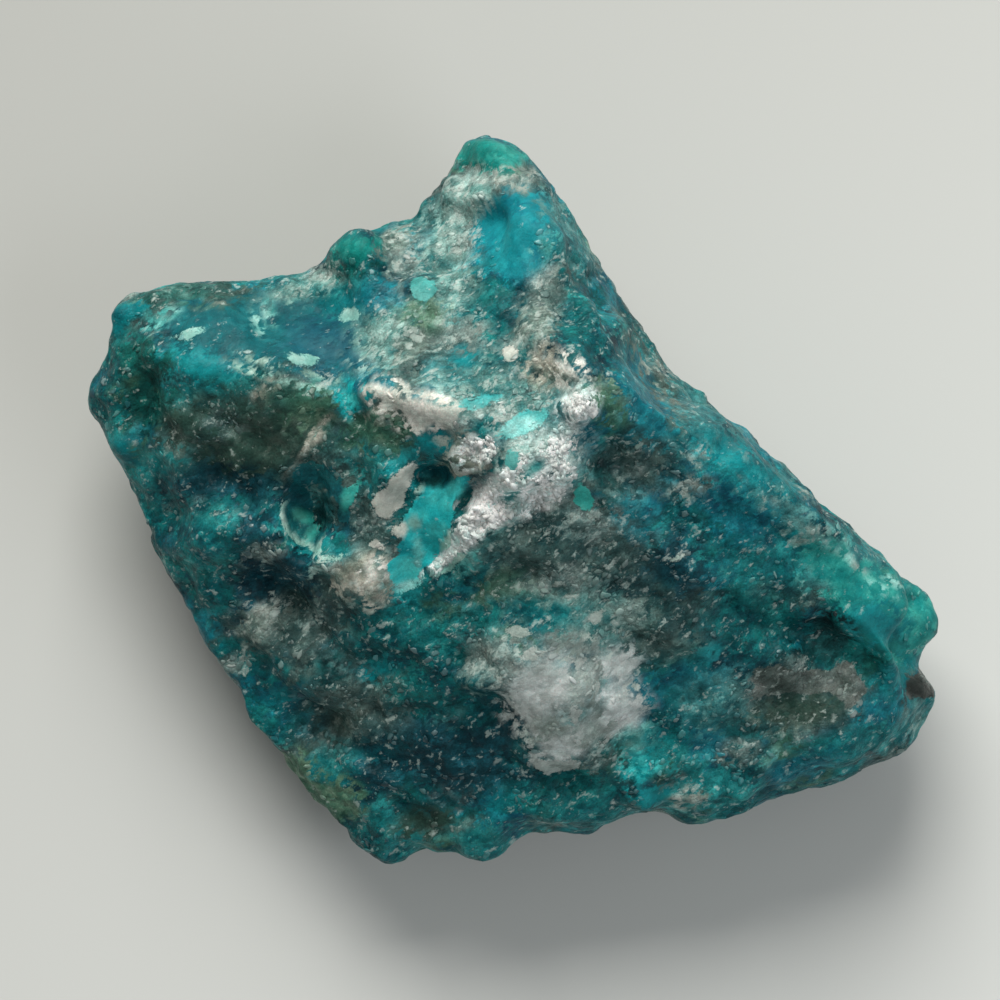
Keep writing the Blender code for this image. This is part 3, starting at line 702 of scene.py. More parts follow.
def linear(colour):
    """sRGB hex to linear: c / 12.92 up to 0.04045, above it ((c + 0.055) / 1.055) ** 2.4."""
    srgb = np.array([int(colour[place : place + 2], 16) for place in (1, 3, 5)]) / 255
    return np.where(srgb <= 0.04045, srgb / 12.92, ((srgb + 0.055) / 1.055) ** 2.4)


def noise(points, size, seed):
    """Soft noise from -1 to 1: random values on a cubic grid, mixed by 3t**2 - 2t**3 each way."""
    place = points / size
    home = np.floor(place)
    part = place - home
    part = part * part * (3 - 2 * part)
    total = 0
    for corner in itertools.product((0, 1), repeat=3):
        weight = np.prod(np.where(corner, part, 1 - part), axis=-1)
        total = total + weight * (scrambled(home + corner, seed)[..., 0] * 2 - 1)
    return total


def softly(value, low, high):
    """0 below low, 1 above high, and 3t**2 - 2t**3 between."""
    part = np.clip((value - low) / (high - low), 0, 1)
    return part * part * (3 - 2 * part)


def mineral(name, shade):
    """A mineral at each point as colour and nature: the colour by shade, from -1 dark to 1 light."""
    usual, dark, light, *nature, _ = MINERALS[name]
    usual, dark, light = (linear(colour) for colour in (usual, dark, light))
    down = np.clip(-shade, 0, 1)[..., None]
    up = np.clip(shade, 0, 1)[..., None]
    colour = usual + (dark - usual) * down + (light - usual) * up
    return np.concatenate([colour, np.broadcast_to(nature, (*shade.shape, 4))], axis=-1)


def covered(looks, name, shade, cover):
    """The looks with a mineral laid over them where it covers."""
    return looks + (mineral(name, shade) - looks) * cover[..., None]


def seen_places(points):
    """Where the camera sees each point on the photo's plane, and how far noise moves it there."""
    seen = points[..., :2] * (1 + (points[..., 2:] - RIM_LEVEL) / CAMERA_REACH)
    return seen, sum(
        np.stack([noise(points, size, seed + n) for seed in WANDER_SEEDS], axis=-1) * reach
        for n, (size, reach) in enumerate(EDGE_WANDER)
    )


def from_patch(places, ellipse):
    """How far out of a patch each place is, 1 on its edge; a narrow patch wanders less."""
    seen, moved = places
    return from_middle(seen + moved * min(1, ellipse[3] / WANDER_FULL), *ellipse)


def soft_cover(away, edge):
    """How far a soft patch covers: 1 within 1 - edge of its middle, 0 beyond 1 + edge."""
    return 1 - softly(away, 1 - edge, 1 + edge)


def rock_layer(points, shade, shows):
    """Colour and nature of the rock: the ground, its veins by noise, then the soft patches in turn.

    A patch covers where its ellipse is under 1, softly by its edge, and lies on what shows upwards.
    """
    looks = mineral(GROUND, shade)
    for n, (name, size, least) in enumerate(VEINS):
        field = noise(points, size, VEIN_SEEDS[0] + n)
        field = field + VEIN_FRAYS[1] * noise(points, size * VEIN_FRAYS[0], VEIN_SEEDS[1] + n)
        looks = covered(looks, name, shade, softly(field, least, least + VEIN_EDGE))
    places = seen_places(points)
    for name, *ellipse in PATCHES:
        edge = MINERALS[name][-1]
        if edge:
            looks = covered(looks, name, shade, shows * soft_cover(from_patch(places, ellipse), edge))
    return looks


def inlay_layer(points, shade, shows):
    """Colour, nature and cover of the inlays, the patches with a clean edge.

    The cover is 0.5 on the edge and runs from 0 to 1 across EDGE_RAMP, for the material to cut
    sharply between its grains. A soft patch that comes later in the list wears an inlay away.
    """
    looks = mineral(GROUND, shade)
    total = np.zeros(shade.shape)
    places = seen_places(points)
    for name, *ellipse in PATCHES:
        edge = MINERALS[name][-1]
        away = from_patch(places, ellipse)
        if edge:
            total = total * (1 - shows * soft_cover(away, edge))
        else:
            cover = shows * np.clip(0.5 + (1 - away) * min(ellipse[2:4]) / EDGE_RAMP, 0, 1)
            closer = np.maximum(softly(cover, *INLAY_HIDES), cover > total) * (cover > 0)
            looks = covered(looks, name, shade, closer)
            total = np.maximum(total, cover)
    return looks, total


def painted(points, upwards):
    """The layers at each point: the rock as it is a little to either side, the inlays, their cover.

    The material's grains each take the colour of one side or the other, so that minerals meet in a
    mosaic of grains.
    """
    shows = softly(upwards, *SHOW_SLOPE)
    shades = []
    rocks = []
    for side in (-1, 1):
        place = points + side * np.array(MOSAIC_REACH)
        shade = sum(strength * noise(place, size, MOTTLE_SEED + n)
                    for n, (size, strength) in enumerate(MOTTLE))
        rocks.append(rock_layer(place, shade * MOTTLE_CONTRAST, shows))
        shades.append(shade)
    return *rocks, *inlay_layer(points, shades[0], shows)


# The stone's surface
# Quartz grains are under half a millimetre, and show as tiny facets and glints. Turquoise is waxy
# and nearly even. The relief is cut into the mesh as far as its cells can carry it, and finer
# grains come from the material.

MM = 0.001
FINE_SEED = 23
# Smaller chips, as above, and how much of them there is where a mineral isn't rugged, with what
# ruggedness adds
SMALL_CHIPS = (0.95, 0.070, 0.26, 0.10)
SMALL_CHIP_ROUNDS = 1
SMALL_CHIP_SHARES = (0.25, 0.9)
GRAINS = (0.42, 0.036, 0.24, 0.07)
GRAIN_SHARES = (0.15, 1.0)
# Lumps that the rugged minerals add: size and height
LUMPS = ((0.85, 0.10), (0.42, 0.07))
# The cover over which an inlay gives the skin its ruggedness
RUGGED_COVER = (0.35, 0.65)
# Near the widest line the fine chips turn to point sideways, so that both skins share its edge
EDGE_TURN = 30


def fine_skin(height_at, squareness, facing):
    """A finished skin: its points and layers. Chips and grains are times a share + rugged * another."""
    points, normal, out = chipped_skin(height_at, squareness, facing)
    rock, other, inlay, cover = painted(points, normal[..., 2])
    rugged = rock[..., RUGGED] + (inlay - rock)[..., RUGGED] * softly(cover, *RUGGED_COVER)
    plain, more = SMALL_CHIP_SHARES
    move = soft_chips(points, SMALL_CHIPS, FINE_SEED, SMALL_CHIP_ROUNDS) * (plain + more * rugged)
    plain, more = GRAIN_SHARES
    move = move + chips(points, *GRAINS, FINE_SEED) * (plain + more * rugged)
    for size, height in LUMPS:
        move = move + height * noise(points, size, FINE_SEED) * rugged**2
    level = np.stack([np.ones(out.shape), np.ones(out.shape), 1 - out**EDGE_TURN], axis=-1)
    sideways = normal * level
    sideways /= np.linalg.norm(sideways, axis=-1, keepdims=True)
    return points + sideways * move[..., None], (rock, other, inlay, cover[..., None])


def closed_faces(cells):
    """The quads of two skins that share their rim: the upper one counterclockwise from above."""
    side = cells + 1
    above = np.arange(side * side).reshape(side, side)
    below = above.copy()
    below[1:-1, 1:-1] = side * side + np.arange((side - 2) ** 2).reshape(side - 2, side - 2)
    quads = [
        np.stack([grid[:-1, :-1], grid[1:, :-1], grid[1:, 1:], grid[:-1, 1:]], axis=-1).reshape(-1, 4)
        for grid in (above, below)
    ]
    return np.concatenate([quads[0], quads[1][:, ::-1]])


def joined(upper, lower):
    """One list of the values of both skins, the rim's taken from the upper skin."""
    width = upper.shape[-1]
    return np.concatenate([upper.reshape(-1, width), lower[1:-1, 1:-1].reshape(-1, width)])


def mesh_object(name, points, faces, colours, natures):
    """A smoothly shaded object from points in mm, with colours and vectors at them by name."""
    mesh = bpy.data.meshes.new(name)
    mesh.from_pydata((points * MM).tolist(), [], faces)
    mesh.polygons.foreach_set("use_smooth", np.ones(len(mesh.polygons), dtype=bool))
    for layer, values in colours.items():
        mesh.color_attributes.new(layer, "FLOAT_COLOR", "POINT").data.foreach_set("color", values.ravel())
    for layer, values in natures.items():
        mesh.attributes.new(layer, "FLOAT_VECTOR", "POINT").data.foreach_set("vector", values.ravel())
    mesh.update()
    made = bpy.data.objects.new(name, mesh)
    bpy.context.scene.collection.objects.link(made)
    return made


upper_skin, upper_layers = fine_skin(upper_height, UPPER_SHOULDER, 1)
lower_skin, lower_layers = fine_skin(lower_height, LOWER_SHOULDER, -1)
# The stone rests at height 0 on its underside, flat below the cut
upper_skin[..., 2] -= CUT_LEVEL
lower_skin[..., 2] = np.maximum(lower_skin[..., 2] - CUT_LEVEL, 0)
skin_points = joined(upper_skin, lower_skin)
skin_faces = closed_faces(CELLS)
skin_rock, skin_other, skin_inlay, skin_cover = map(joined, upper_layers, lower_layers)
stone = mesh_object(
    "stone_skin", skin_points, skin_faces.tolist(),
    {layer: np.hstack([looks[:, :3], skin_cover]) for layer, looks in (
        ("rock_colour", skin_rock), ("other_colour", skin_other), ("inlay_colour", skin_inlay))},
    {"rock_nature": skin_rock[:, GRAINY:RUGGED], "inlay_nature": skin_inlay[:, GRAINY:RUGGED]},
)


def node(tree, kind, inputs=(), **settings):
    """Adds a shader node. Inputs go by socket, or in order; a node stands for its first output."""
    made = tree.nodes.new("ShaderNode" + kind)
    for name, value in settings.items():
        setattr(made, name, value)
    for socket, value in inputs.items() if isinstance(inputs, dict) else enumerate(inputs):
        value = value.outputs[0] if isinstance(value, bpy.types.Node) else value
        if isinstance(value, bpy.types.NodeSocket):
            tree.links.new(value, made.inputs[socket])
        else:
            made.inputs[socket].default_value = value
    return made


def new_material(name, sockets):
    """A material, its nodes and its shader, with the values that are the same all over."""
    material = bpy.data.materials.new(name)
    material.use_nodes = True
    surface = material.node_tree.nodes["Principled BSDF"]
    for socket, value in sockets.items():
        surface.inputs[socket].default_value = value
    return material, material.node_tree, surface


# Sizes in mm of what the material adds: the wander that bends all the rest, with its reach, the
# blotches of the rock, the flecks and pores among them, the crystals, and the dust of small grains.
# All but the dust lie the way that the rock grew
WANDER_SIZE = 0.30
WANDER_REACH = 0.16
BLOTCHES = (0.95, 0.42)
FLECKS = (0.38, 0.20)
CRYSTALS = (0.36, 0.18)
DUST = 0.06
GROWTH_TURN = 0.65
GROWTH_STRETCH = (1.35, 0.85, 1.0)
# How many finer sizes are in the noise of each of the blotches and flecks, and how strong they are
FINER_SIZES = (4.0, 4.0, 4.0, 3.0)
FINER_STRENGTH = 0.6
# How each darkens or lightens the rock, as a power of 2 from its lowest to its highest. Grainy
# minerals have the most of it: how much grain adds, and how much waxy ones have
BLOTCH_SHADES = (1.0, 1.5)
CRYSTAL_SHADES = (0.50, 0.85)
DUST_SHADE = 2.0
SHADE_BY_GRAIN = (1.25, 0.18)
# Inlays end where their cover, with this much of the flecks' and the dust's noise, passes between
# these, and grains take the colour of one side or the other by the smaller blotches' noise
INLAY_FRAYS = (0.9, 0.3)
INLAY_ENDS = (1.05, 1.15)
MOSAIC_ENDS = (0.46, 0.54)
# Pale flecks show where their noise is above one value, and the pores' painted shade where it is below
# another; the flecks are pale grains and partly painted glints. Speckled minerals have more flecks, and
# the smaller blotches' noise is added to theirs, so that they cluster
FLECK_CLUSTER = 0.9
FLECK_FROM = 1.20
FLECK_MORE = 0.36
FLECK_EDGE = 0.12
FLECK_STRENGTHS = (0.50, 0.55)
PORE_FROM = 0.36
PORE_PAINTED_SHADE = 0.55
PALE_GRAIN_AND_GLINT = "#B4C3BC"
# The relief: how steep the crystals' facets are, how round they are as a share of their size, and
# how far in mm the pores sink and the flecks and the dust rise. Waxy minerals have little of it
FACET_SLOPE = 0.45
CRYSTAL_ROUNDING = 0.20
PORE_DEPTH = 0.05
FLECK_RISE = 0.022
DUST_RISE = 0.012
RELIEF_BY_GRAIN = (0.95, 0.08)
# Roughness, and how much smoother a glassy crystal is: at most, by its chance, and at least
ROUGHNESS = 0.52
CRYSTAL_GLOSS = (0.35, 0.08)


def rock_material():
    """Broken turquoise in quartz: waxy where it is turquoise, glinting grains where it is quartz.

    Noise at several sizes makes blotches, pale flecks that are partly painted glints, and pores
    darkened with painted shade; cells the size of the grains give slopes that glint. Each works by
    how grainy, glassy and speckled the mineral is there.
    """
    material, tree, surface = new_material("turquoise in quartz, broken", {
        "IOR": 1.55, "Specular IOR Level": 0.10, "Subsurface Weight": 0.28,
        "Subsurface Radius": (0.5, 0.9, 0.9), "Subsurface Scale": 0.40 * MM,
    })
    # Patterns on the stone's own place, bent by a finer wander and drawn out one way
    place = node(tree, "TexCoord").outputs["Object"]
    wander = node(tree, "TexNoise", {"Vector": place, "Scale": 1 / (WANDER_SIZE * MM), "Detail": 3.0})
    wander = node(tree, "VectorMath", (wander.outputs["Color"], (0.5,) * 3), operation="SUBTRACT")
    moved = node(tree, "VectorMath", (wander, (WANDER_REACH * MM,) * 3, place), operation="MULTIPLY_ADD")
    moved = node(tree, "Mapping", {"Vector": moved, "Rotation": (0.0, 0.0, GROWTH_TURN),
                                   "Scale": GROWTH_STRETCH}, vector_type="TEXTURE")
    soft = {
        size: node(tree, "TexNoise", {"Vector": moved, "Scale": 1 / (size * MM), "Detail": finer,
                                      "Roughness": FINER_STRENGTH})
        for size, finer in zip(BLOTCHES + FLECKS, FINER_SIZES)
    }
    dust = node(tree, "TexNoise", {"Vector": place, "Scale": 1 / (DUST * MM), "Detail": 2.0})

    # Crystals: each cell leans its own way and is rounded by the square of the way to its middle
    chances = {}
    relief = 0.0
    for size in CRYSTALS:
        cells = node(tree, "TexVoronoi", {"Vector": moved, "Scale": 1 / (size * MM)}).outputs
        chances[size] = node(tree, "SeparateColor", (cells["Color"],))
        lean = node(tree, "VectorMath", (cells["Color"], (0.5,) * 3), operation="SUBTRACT")
        away = node(tree, "VectorMath", (moved, cells["Position"]), operation="SUBTRACT")
        facet = node(tree, "VectorMath", (lean, away), operation="DOT_PRODUCT").outputs["Value"]
        far = node(tree, "Math", (cells["Distance"], 2.0), operation="POWER")
        for part, rise in ((facet, FACET_SLOPE), (far, -CRYSTAL_ROUNDING * size * MM)):
            relief = node(tree, "Math", (part, rise, relief), operation="MULTIPLY_ADD")

    # The mineral at each grain: the rock's colour from one side or the other, then the inlays
    rock, other, inlay, rock_nature, inlay_nature = (
        node(tree, "Attribute", attribute_name=layer).outputs
        for layer in ("rock_colour", "other_colour", "inlay_colour", "rock_nature", "inlay_nature")
    )
    ragged = rock["Alpha"]
    for part, share in zip((soft[FLECKS[0]], dust), INLAY_FRAYS):
        ragged = node(tree, "Math", (part, share, ragged), operation="MULTIPLY_ADD")
    cover = node(tree, "MapRange", (ragged, *INLAY_ENDS))
    side = node(tree, "MapRange", (soft[BLOTCHES[1]], *MOSAIC_ENDS))
    base = node(tree, "Mix", {0: side, 6: rock["Color"], 7: other["Color"]}, data_type="RGBA").outputs[2]
    base = node(tree, "Mix", {0: cover, 6: base, 7: inlay["Color"]}, data_type="RGBA").outputs[2]
    nature = node(tree, "Mix", {0: cover, 4: rock_nature["Vector"], 5: inlay_nature["Vector"]},
                  data_type="VECTOR").outputs[1]
    grainy, glassy, speckled = node(tree, "SeparateXYZ", (nature,)).outputs

    # Light and dark: 2 ** the sum of the patterns, each times its strength, and of the pores' painted shade
    parts = [(soft[size], strength) for size, strength in zip(BLOTCHES, BLOTCH_SHADES)]
    parts += [(chances[size].outputs[1], strength) for size, strength in zip(CRYSTALS, CRYSTAL_SHADES)]
    parts += [(dust, DUST_SHADE)]
    shade = -sum(strength for _, strength in parts) / 2
    for part, strength in parts:
        shade = node(tree, "Math", (part, strength, shade), operation="MULTIPLY_ADD")
    share = node(tree, "Math", (grainy, *SHADE_BY_GRAIN), operation="MULTIPLY_ADD")
    shade = node(tree, "Math", (shade, share), operation="MULTIPLY")
    pore = (soft[FLECKS[0]], PORE_FROM, PORE_FROM + FLECK_EDGE, -PORE_PAINTED_SHADE, 0.0)
    pore = node(tree, "MapRange", pore)
    shade = node(tree, "Math", (pore, grainy, shade), operation="MULTIPLY_ADD")
    shade = node(tree, "Math", (2.0, shade), operation="POWER")
    base = node(tree, "VectorMath", {0: base, "Scale": shade}, operation="SCALE")
    relief = node(tree, "Math", (pore, PORE_DEPTH * MM, relief), operation="MULTIPLY_ADD")

    # Pale flecks, pale grains and partly painted glints, which stand out a little
    pale = (*linear(PALE_GRAIN_AND_GLINT), 1)
    for size, strength in zip(FLECKS, FLECK_STRENGTHS):
        over = soft[size]
        for part, more in ((speckled, FLECK_MORE), (soft[BLOTCHES[1]], FLECK_CLUSTER)):
            over = node(tree, "Math", (part, more, over), operation="MULTIPLY_ADD")
        fleck = node(tree, "MapRange", (over, FLECK_FROM, FLECK_FROM + FLECK_EDGE))
        share = node(tree, "Math", (fleck, strength), operation="MULTIPLY")
        base = node(tree, "Mix", {0: share, 6: base, 7: pale}, data_type="RGBA").outputs[2]
        relief = node(tree, "Math", (fleck, FLECK_RISE * MM, relief), operation="MULTIPLY_ADD")

    # Gloss and relief
    gloss = (chances[CRYSTALS[0]].outputs[0], *CRYSTAL_GLOSS)
    gloss = node(tree, "Math", gloss, operation="MULTIPLY_ADD")
    gloss = node(tree, "Math", (gloss, glassy), operation="MULTIPLY")
    rough = node(tree, "Math", (ROUGHNESS, gloss), operation="SUBTRACT")
    share = node(tree, "Math", (grainy, *RELIEF_BY_GRAIN), operation="MULTIPLY_ADD")
    relief = node(tree, "Math", (relief, share), operation="MULTIPLY")
    relief = node(tree, "Math", (dust, DUST_RISE * MM, relief), operation="MULTIPLY_ADD")
    bump = node(tree, "Bump", {"Strength": 1.0, "Distance": 1.0, "Height": relief})
    tree.links.new(base, surface.inputs["Base Color"])
    tree.links.new(rough.outputs[0], surface.inputs["Roughness"])
    tree.links.new(bump.outputs[0], surface.inputs["Normal"])
    return material


stone.data.materials.append(rock_material())
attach(stone, "root")
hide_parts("stone")

# Crust chips
# Chips of white, cream and cyan crust and sugary quartz, jumbled along the crest and round the
# bright vein. Each is a box with uneven corners, sunk in the rock.

CRUST_TOTAL = 1100
# Half sizes of the chips, and the least and most of that along each of their sides
CRUST_SIZES = (0.035, 0.12)
CRUST_SHAPE = ((0.8, 0.5, 0.35), (1.3, 1.0, 0.6))
# How deep they are sunk as a share of their half height, and how much they lean
CRUST_SUNK = (0.5, 1.1)
CRUST_LEAN = 0.30
# They lie only where the rock is more rugged than this
CRUST_FROM = 0.64
# Nothing stands out of the underside near the floor, nor out of steep faces: a face carries no chip
# or flake when its direction rises less than the first value, and all it can from the second on
LOWEST_GRAIN = 0.5
LEVEL_FACE = (0.40, 0.75)
# A chip has the rock's colour there, with at most this much of one of the tints
CRUST_TINTS = ("#9DB0AA", "#E4E6E0", "#C4C0B5", "#6DB0AB")
CRUST_TINTED = 0.35
# The cover over which an inlay gives the grains on it their colour
GRAIN_COVER = (0.4, 0.6)
# A box and its faces, and how far each corner strays
CORNER_JITTER = 0.45
BOX = np.array(list(itertools.product((-1, 1), repeat=3)), dtype=float)
BOX_FACES = np.array([(0, 1, 3, 2), (4, 6, 7, 5), (0, 4, 5, 1), (2, 3, 7, 6), (0, 2, 6, 4), (1, 5, 7, 3)])

face_corners = skin_points[skin_faces]
face_way = np.cross(face_corners[:, 2] - face_corners[:, 0], face_corners[:, 3] - face_corners[:, 1])
face_area = np.linalg.norm(face_way, axis=-1) / 2
face_way /= np.maximum(np.linalg.norm(face_way, axis=-1, keepdims=True), 1e-9)
skin_looks = skin_rock + (skin_inlay - skin_rock) * softly(skin_cover, *GRAIN_COVER)
face_looks = skin_looks[skin_faces].mean(axis=1)
free_face = softly(np.abs(face_way[:, 2]), *LEVEL_FACE) * (face_corners[..., 2].min(axis=1) > LOWEST_GRAIN)


def between(ends, share):
    """The value at a share of the way from the first end to the second."""
    return ends[0] + (ends[1] - ends[0]) * share


def scattered(weight, count, random):
    """The face of each of many random spots on the skin, taken by weight."""
    ends = np.cumsum(weight * face_area * free_face)
    return np.searchsorted(ends, random.uniform(0, ends[-1], count))


def spots_on(face, random):
    """A random place on each of the faces."""
    part = random.uniform(0, 1, (2, len(face), 1))
    corners = face_corners[face]
    near = between((corners[:, 0], corners[:, 1]), part[0])
    far = between((corners[:, 3], corners[:, 2]), part[0])
    return between((near, far), part[1])


def turned_frames(up, along):
    """Three directions square to one another: the third is up, the first as near along as it can be."""
    up = up / np.linalg.norm(up, axis=-1, keepdims=True)
    aside = np.cross(up, along)
    aside /= np.linalg.norm(aside, axis=-1, keepdims=True)
    return np.stack([np.cross(aside, up), aside, up], axis=1)


def crystals(spots, frames, halves, sunk, random):
    """Points and quads of boxes with uneven corners: spot + corner * half sizes, along the frame."""
    corners = BOX + random.uniform(-CORNER_JITTER, CORNER_JITTER, (len(spots), *BOX.shape))
    corners = np.einsum("nci,ni,nij->ncj", corners, halves, frames)
    middle = spots - frames[:, 2] * (sunk * halves[:, 2])[:, None]
    faces = BOX_FACES + len(BOX) * np.arange(len(spots))[:, None, None]
    return (middle[:, None] + corners).reshape(-1, 3), faces.reshape(-1, 4)


def grain_colours(colour, corners):
    """A colour for every corner of each grain, opaque."""
    return {"grain_colour": np.repeat(np.hstack([colour, np.ones((len(colour), 1))]), corners, axis=0)}


def grain_material(name, roughness):
    """Broken crust or quartz, each grain evenly coloured and only faintly glossy."""
    material, tree, surface = new_material(name, {
        "Roughness": roughness, "IOR": 1.54, "Specular IOR Level": 0.4, "Subsurface Weight": 0.3,
        "Subsurface Radius": (0.7, 0.9, 0.9), "Subsurface Scale": 0.25 * MM,
    })
    colour = node(tree, "Attribute", attribute_name="grain_colour").outputs["Color"]
    tree.links.new(colour, surface.inputs["Base Color"])
    return material


crust_random = np.random.default_rng(SEED + 1)
crust_face = scattered(np.maximum(face_looks[:, RUGGED] - CRUST_FROM, 0), CRUST_TOTAL, crust_random)
# Most chips are small
crust_half = between(CRUST_SIZES, crust_random.power(0.5, CRUST_TOTAL))
crust_points, crust_faces = crystals(
    spots_on(crust_face, crust_random),
    turned_frames(face_way[crust_face] + crust_random.normal(0, CRUST_LEAN, (CRUST_TOTAL, 3)),
                  crust_random.normal(size=(CRUST_TOTAL, 3))),
    crust_half[:, None] * crust_random.uniform(*CRUST_SHAPE, (CRUST_TOTAL, 3)),
    crust_random.uniform(*CRUST_SUNK, CRUST_TOTAL),
    crust_random,
)
crust_tint = np.array([linear(tint) for tint in CRUST_TINTS])
crust_tint = crust_tint[crust_random.integers(0, len(crust_tint), CRUST_TOTAL)]
crust_share = crust_random.uniform(0, CRUST_TINTED, (CRUST_TOTAL, 1))
crust_colour = between((face_looks[crust_face, :3], crust_tint), crust_share)
crust = mesh_object("crust_chips", crust_points, crust_faces.tolist(),
                    grain_colours(crust_colour, len(BOX)), {})
crust.data.materials.append(grain_material("white and cream crust, chipped", 0.45))
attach(crust, "root")

# Quartz flakes
# Thin flakes of clear and milky quartz that lie in the broken face and catch the light, most of
# them drawn out the way that the rock grew.

FLAKE_CLUMPS = 620
FLAKES_EACH = 3
# How far apart the flakes of a clump lie, as a share of the skin's side
FLAKE_SPREAD = 0.006
# Grainy and speckled rock carries the most, and all of it some
FLAKE_LEAST = 0.02
FLAKE_BY_GRAIN = 0.25
# Half lengths of the flakes, half widths as a share of them, and half thicknesses
FLAKE_LENGTHS = (0.07, 0.19)
FLAKE_WIDTHS = (0.35, 0.85)
FLAKE_THICKNESS = (0.012, 0.035)
# How far each corner strays along the outline, as a share of the way to the next, and how far out
# it stands
FLAKE_CORNERS = 8
FLAKE_UNEVEN = 0.3
FLAKE_RAGGED = (0.60, 1.30)
# The rings of corners of a flake: how far out, and how high as a share of its half thickness
FLAKE_RINGS = ((1.0, -1.0), (1.0, 0.4), (0.6, 1.0))
# How much of a flake's own colour shows at each ring: its rim is thin, so the rock shows through
FLAKE_DEPTH = (0.1, 0.6, 1.0)
# How much the flakes lean, and how much their directions spread
FLAKE_LEAN = 0.16
FLAKE_TURN_SPREAD = 0.7
# A flake has the rock's colour there, with this much of a tint between the two, and so much more
# where the rock is speckled
FLAKE_TINTS = ("#7F9690", "#BCC6C0")
FLAKE_TINTED = (0.05, 0.85)


def flakes(spots, frames, halves, thick, random):
    """Points and faces of flat flakes: three rings of uneven corners, the top one drawn in.

    A corner is cos * half length along the frame and sin * half width across it, by its angle.
    """
    count = len(spots)
    angle = np.arange(FLAKE_CORNERS) + random.uniform(-FLAKE_UNEVEN, FLAKE_UNEVEN, (count, FLAKE_CORNERS))
    angle = angle * (2 * np.pi / FLAKE_CORNERS)
    radius = random.uniform(*FLAKE_RAGGED, (count, FLAKE_CORNERS))[..., None]
    flat = np.stack([np.cos(angle), np.sin(angle)], axis=-1) * radius * halves[:, None]
    rings = []
    for reach, lift in FLAKE_RINGS:
        up = np.broadcast_to((thick * lift)[:, None, None], (count, FLAKE_CORNERS, 1))
        rings.append(np.einsum("nci,nij->ncj", np.concatenate([flat * reach, up], axis=-1), frames))
    points = spots[:, None, None] + np.stack(rings, axis=1)
    first = len(FLAKE_RINGS) * FLAKE_CORNERS * np.arange(count)[:, None]
    ring = np.arange(FLAKE_CORNERS)
    after = np.roll(ring, -1)
    sides = np.concatenate([
        np.stack([ring + low, after + low, after + low + FLAKE_CORNERS, ring + low + FLAKE_CORNERS], axis=-1)
        for low in (0, FLAKE_CORNERS)
    ])
    faces = (first[:, None] + sides).reshape(-1, 4).tolist()
    faces += (first + ring + 2 * FLAKE_CORNERS).tolist()
    faces += (first + ring[::-1]).tolist()
    return points.reshape(-1, 3), faces


flake_random = np.random.default_rng(SEED + 2)
flake_weight = FLAKE_LEAST + face_looks[:, GRAINY] * (FLAKE_BY_GRAIN + face_looks[:, SPECKLED])
clump_face = scattered(flake_weight, FLAKE_CLUMPS, flake_random)
# The flakes of a clump lie on faces a few rows and columns apart
flake_steps = flake_random.normal(0, FLAKE_SPREAD * CELLS, (2, FLAKE_CLUMPS * FLAKES_EACH))
flake_steps = np.rint(flake_steps).astype(int)
flake_face = np.repeat(clump_face, FLAKES_EACH) + flake_steps[0] + flake_steps[1] * CELLS
flake_face = flake_face[(flake_face >= 0) & (flake_face < len(skin_faces))]
flake_face = flake_face[free_face[flake_face] > 0]
flakes_total = len(flake_face)
# Most flakes are small, and most have little of their tint
flake_length = between(FLAKE_LENGTHS, flake_random.power(0.6, flakes_total))
flake_width = flake_length * flake_random.uniform(*FLAKE_WIDTHS, flakes_total)
flake_turn = GROWTH_TURN + flake_random.normal(0, FLAKE_TURN_SPREAD, flakes_total)
flake_thick = flake_random.uniform(*FLAKE_THICKNESS, flakes_total)
flake_up = face_way[flake_face] + flake_random.normal(0, FLAKE_LEAN, (flakes_total, 3))
flake_tint = between([linear(tint) for tint in FLAKE_TINTS], flake_random.uniform(0, 1, (flakes_total, 1)))
flake_rock = face_looks[flake_face]
flake_share = FLAKE_TINTED[0] + FLAKE_TINTED[1] * flake_rock[:, SPECKLED]
flake_share = flake_share * flake_random.power(0.5, flakes_total)
flake_colour = between((flake_rock[:, :3], flake_tint), flake_share[:, None])
ring_colours = between((flake_rock[:, None, :3], flake_colour[:, None]), np.array(FLAKE_DEPTH)[:, None])
flake_along = np.stack([np.cos(flake_turn), np.sin(flake_turn), np.zeros(flakes_total)], axis=-1)
flake_points, flake_faces = flakes(
    spots_on(flake_face, flake_random), turned_frames(flake_up, flake_along),
    np.stack([flake_length, flake_width], axis=-1), flake_thick, flake_random,
)
flake_pieces = mesh_object("quartz_flakes", flake_points, flake_faces,
                           grain_colours(ring_colours.reshape(-1, 3), FLAKE_CORNERS), {})
flake_pieces.data.materials.append(grain_material("quartz flakes, broken", 0.32))
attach(flake_pieces, "root")

# The floor
# A plain pale matt table top under the stone, its colour darker towards the upper left and lighter
# towards the lower right as painted light falloff.

# Half its side in metres
FLOOR_SIDE = 1.2
# Its dark and light colours, and how fast it goes from dark, at -1, to light, at 1, along x, y and
# z, per metre: painted light falloff across the floor
FLOOR_FALLOFF_COLOURS = ("#AFB0AC", "#D6D8D5")
FLOOR_PAINTED_FALLOFF = (22.0, -30.0, 0.0)
floor_mesh = bpy.data.meshes.new("floor")
floor_corners = np.array([(-1, -1, 0), (1, -1, 0), (1, 1, 0), (-1, 1, 0)]) * FLOOR_SIDE
floor_mesh.from_pydata(floor_corners.tolist(), [], [(0, 1, 2, 3)])
floor = bpy.data.objects.new("floor", floor_mesh)
bpy.context.scene.collection.objects.link(floor)
floor_paint, floor_tree, floor_surface = new_material("pale matt table top", {
    "Roughness": 0.9, "Specular IOR Level": 0.1,
})
floor_place = node(floor_tree, "TexCoord").outputs["Object"]
floor_falloff_share = node(floor_tree, "VectorMath", (floor_place, FLOOR_PAINTED_FALLOFF),
                   operation="DOT_PRODUCT").outputs["Value"]
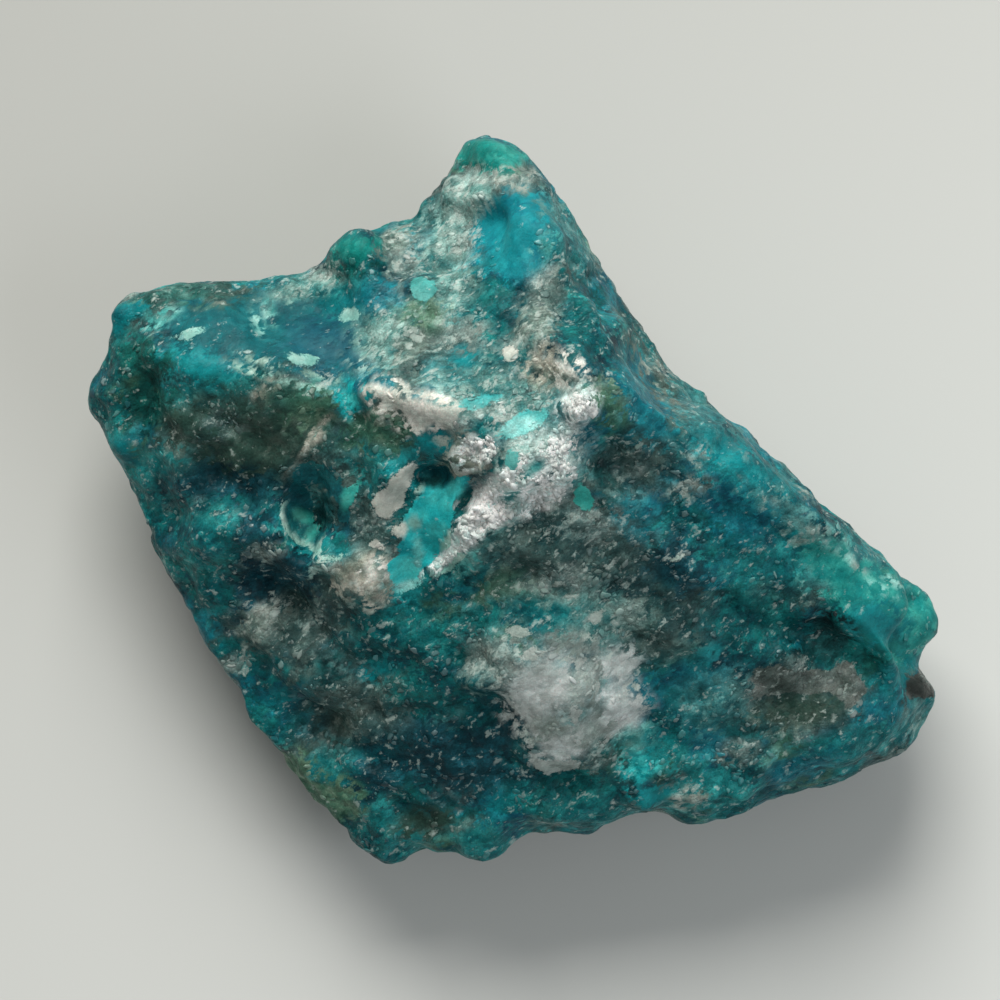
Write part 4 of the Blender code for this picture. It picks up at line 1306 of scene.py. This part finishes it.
floor_falloff_share = node(floor_tree, "MapRange", (floor_falloff_share, -1.0, 1.0))
floor_falloff_ends = [(*linear(colour), 1) for colour in FLOOR_FALLOFF_COLOURS]
floor_painted_falloff = node(floor_tree, "Mix", {0: floor_falloff_share, 6: floor_falloff_ends[0], 7: floor_falloff_ends[1]},
                    data_type="RGBA")
floor_tree.links.new(floor_painted_falloff.outputs[2], floor_surface.inputs["Base Color"])
floor.data.materials.append(floor_paint)

# Light and camera
# Soft daylight falls from above the tip of the stone, with a pale room around it. The camera looks
# straight down from far off.


def area_light(name, place, aim, side, power, colour):
    """A square light that faces the aim; places and side in mm, power in watts."""
    lamp = bpy.data.lights.new(name, "AREA")
    lamp.size = side * MM
    lamp.energy = power
    lamp.color = linear(colour)
    made = bpy.data.objects.new(name, lamp)
    way = np.array(aim, dtype=float) - place
    made.location = np.array(place) * MM
    flat = np.hypot(way[0], way[1])
    made.rotation_euler = (np.arctan2(flat, -way[2]), 0, np.arctan2(-way[0], way[1]))
    bpy.context.scene.collection.objects.link(made)


LIGHTS_AIM = (0.0, 0.0, 6.0)
area_light("window", (-40.0, 260.0, 210.0), LIGHTS_AIM, side=220.0, power=1.60, colour="#FFFDF8")
area_light("far_wall", (260.0, -120.0, 240.0), LIGHTS_AIM, side=260.0, power=0.40, colour="#F4F8FF")

ROOM_COLOUR = "#DCDEDC"
ROOM_STRENGTH = 0.36
world = bpy.data.worlds.new("pale room")
world.use_nodes = True
room = world.node_tree.nodes["Background"]
room.inputs["Color"].default_value = (*linear(ROOM_COLOUR), 1)
room.inputs["Strength"].default_value = ROOM_STRENGTH
bpy.context.scene.world = world

# The photograph's scale in its own pixels: the stone's middle, and the size of a pixel on it
FRAME_PIXELS = 1000
MIDDLE_PIXEL = (514, 503)
PIXEL = 0.0354
SENSOR = 36.0
camera_lens = bpy.data.cameras.new("camera")
camera_lens.sensor_width = SENSOR
camera_lens.lens = SENSOR * CAMERA_REACH / (FRAME_PIXELS * PIXEL)
camera_lens.clip_start = 0.001
camera_lens.clip_end = 10.0
camera = bpy.data.objects.new("camera", camera_lens)
camera.location = np.array([
    (FRAME_PIXELS / 2 - MIDDLE_PIXEL[0]) * PIXEL,
    (MIDDLE_PIXEL[1] - FRAME_PIXELS / 2) * PIXEL,
    CAMERA_REACH + RIM_LEVEL - CUT_LEVEL,
]) * MM
bpy.context.scene.collection.objects.link(camera)
bpy.context.scene.camera = camera
bpy.context.scene.view_settings.view_transform = "Standard"

bpy.context.view_layer.update()
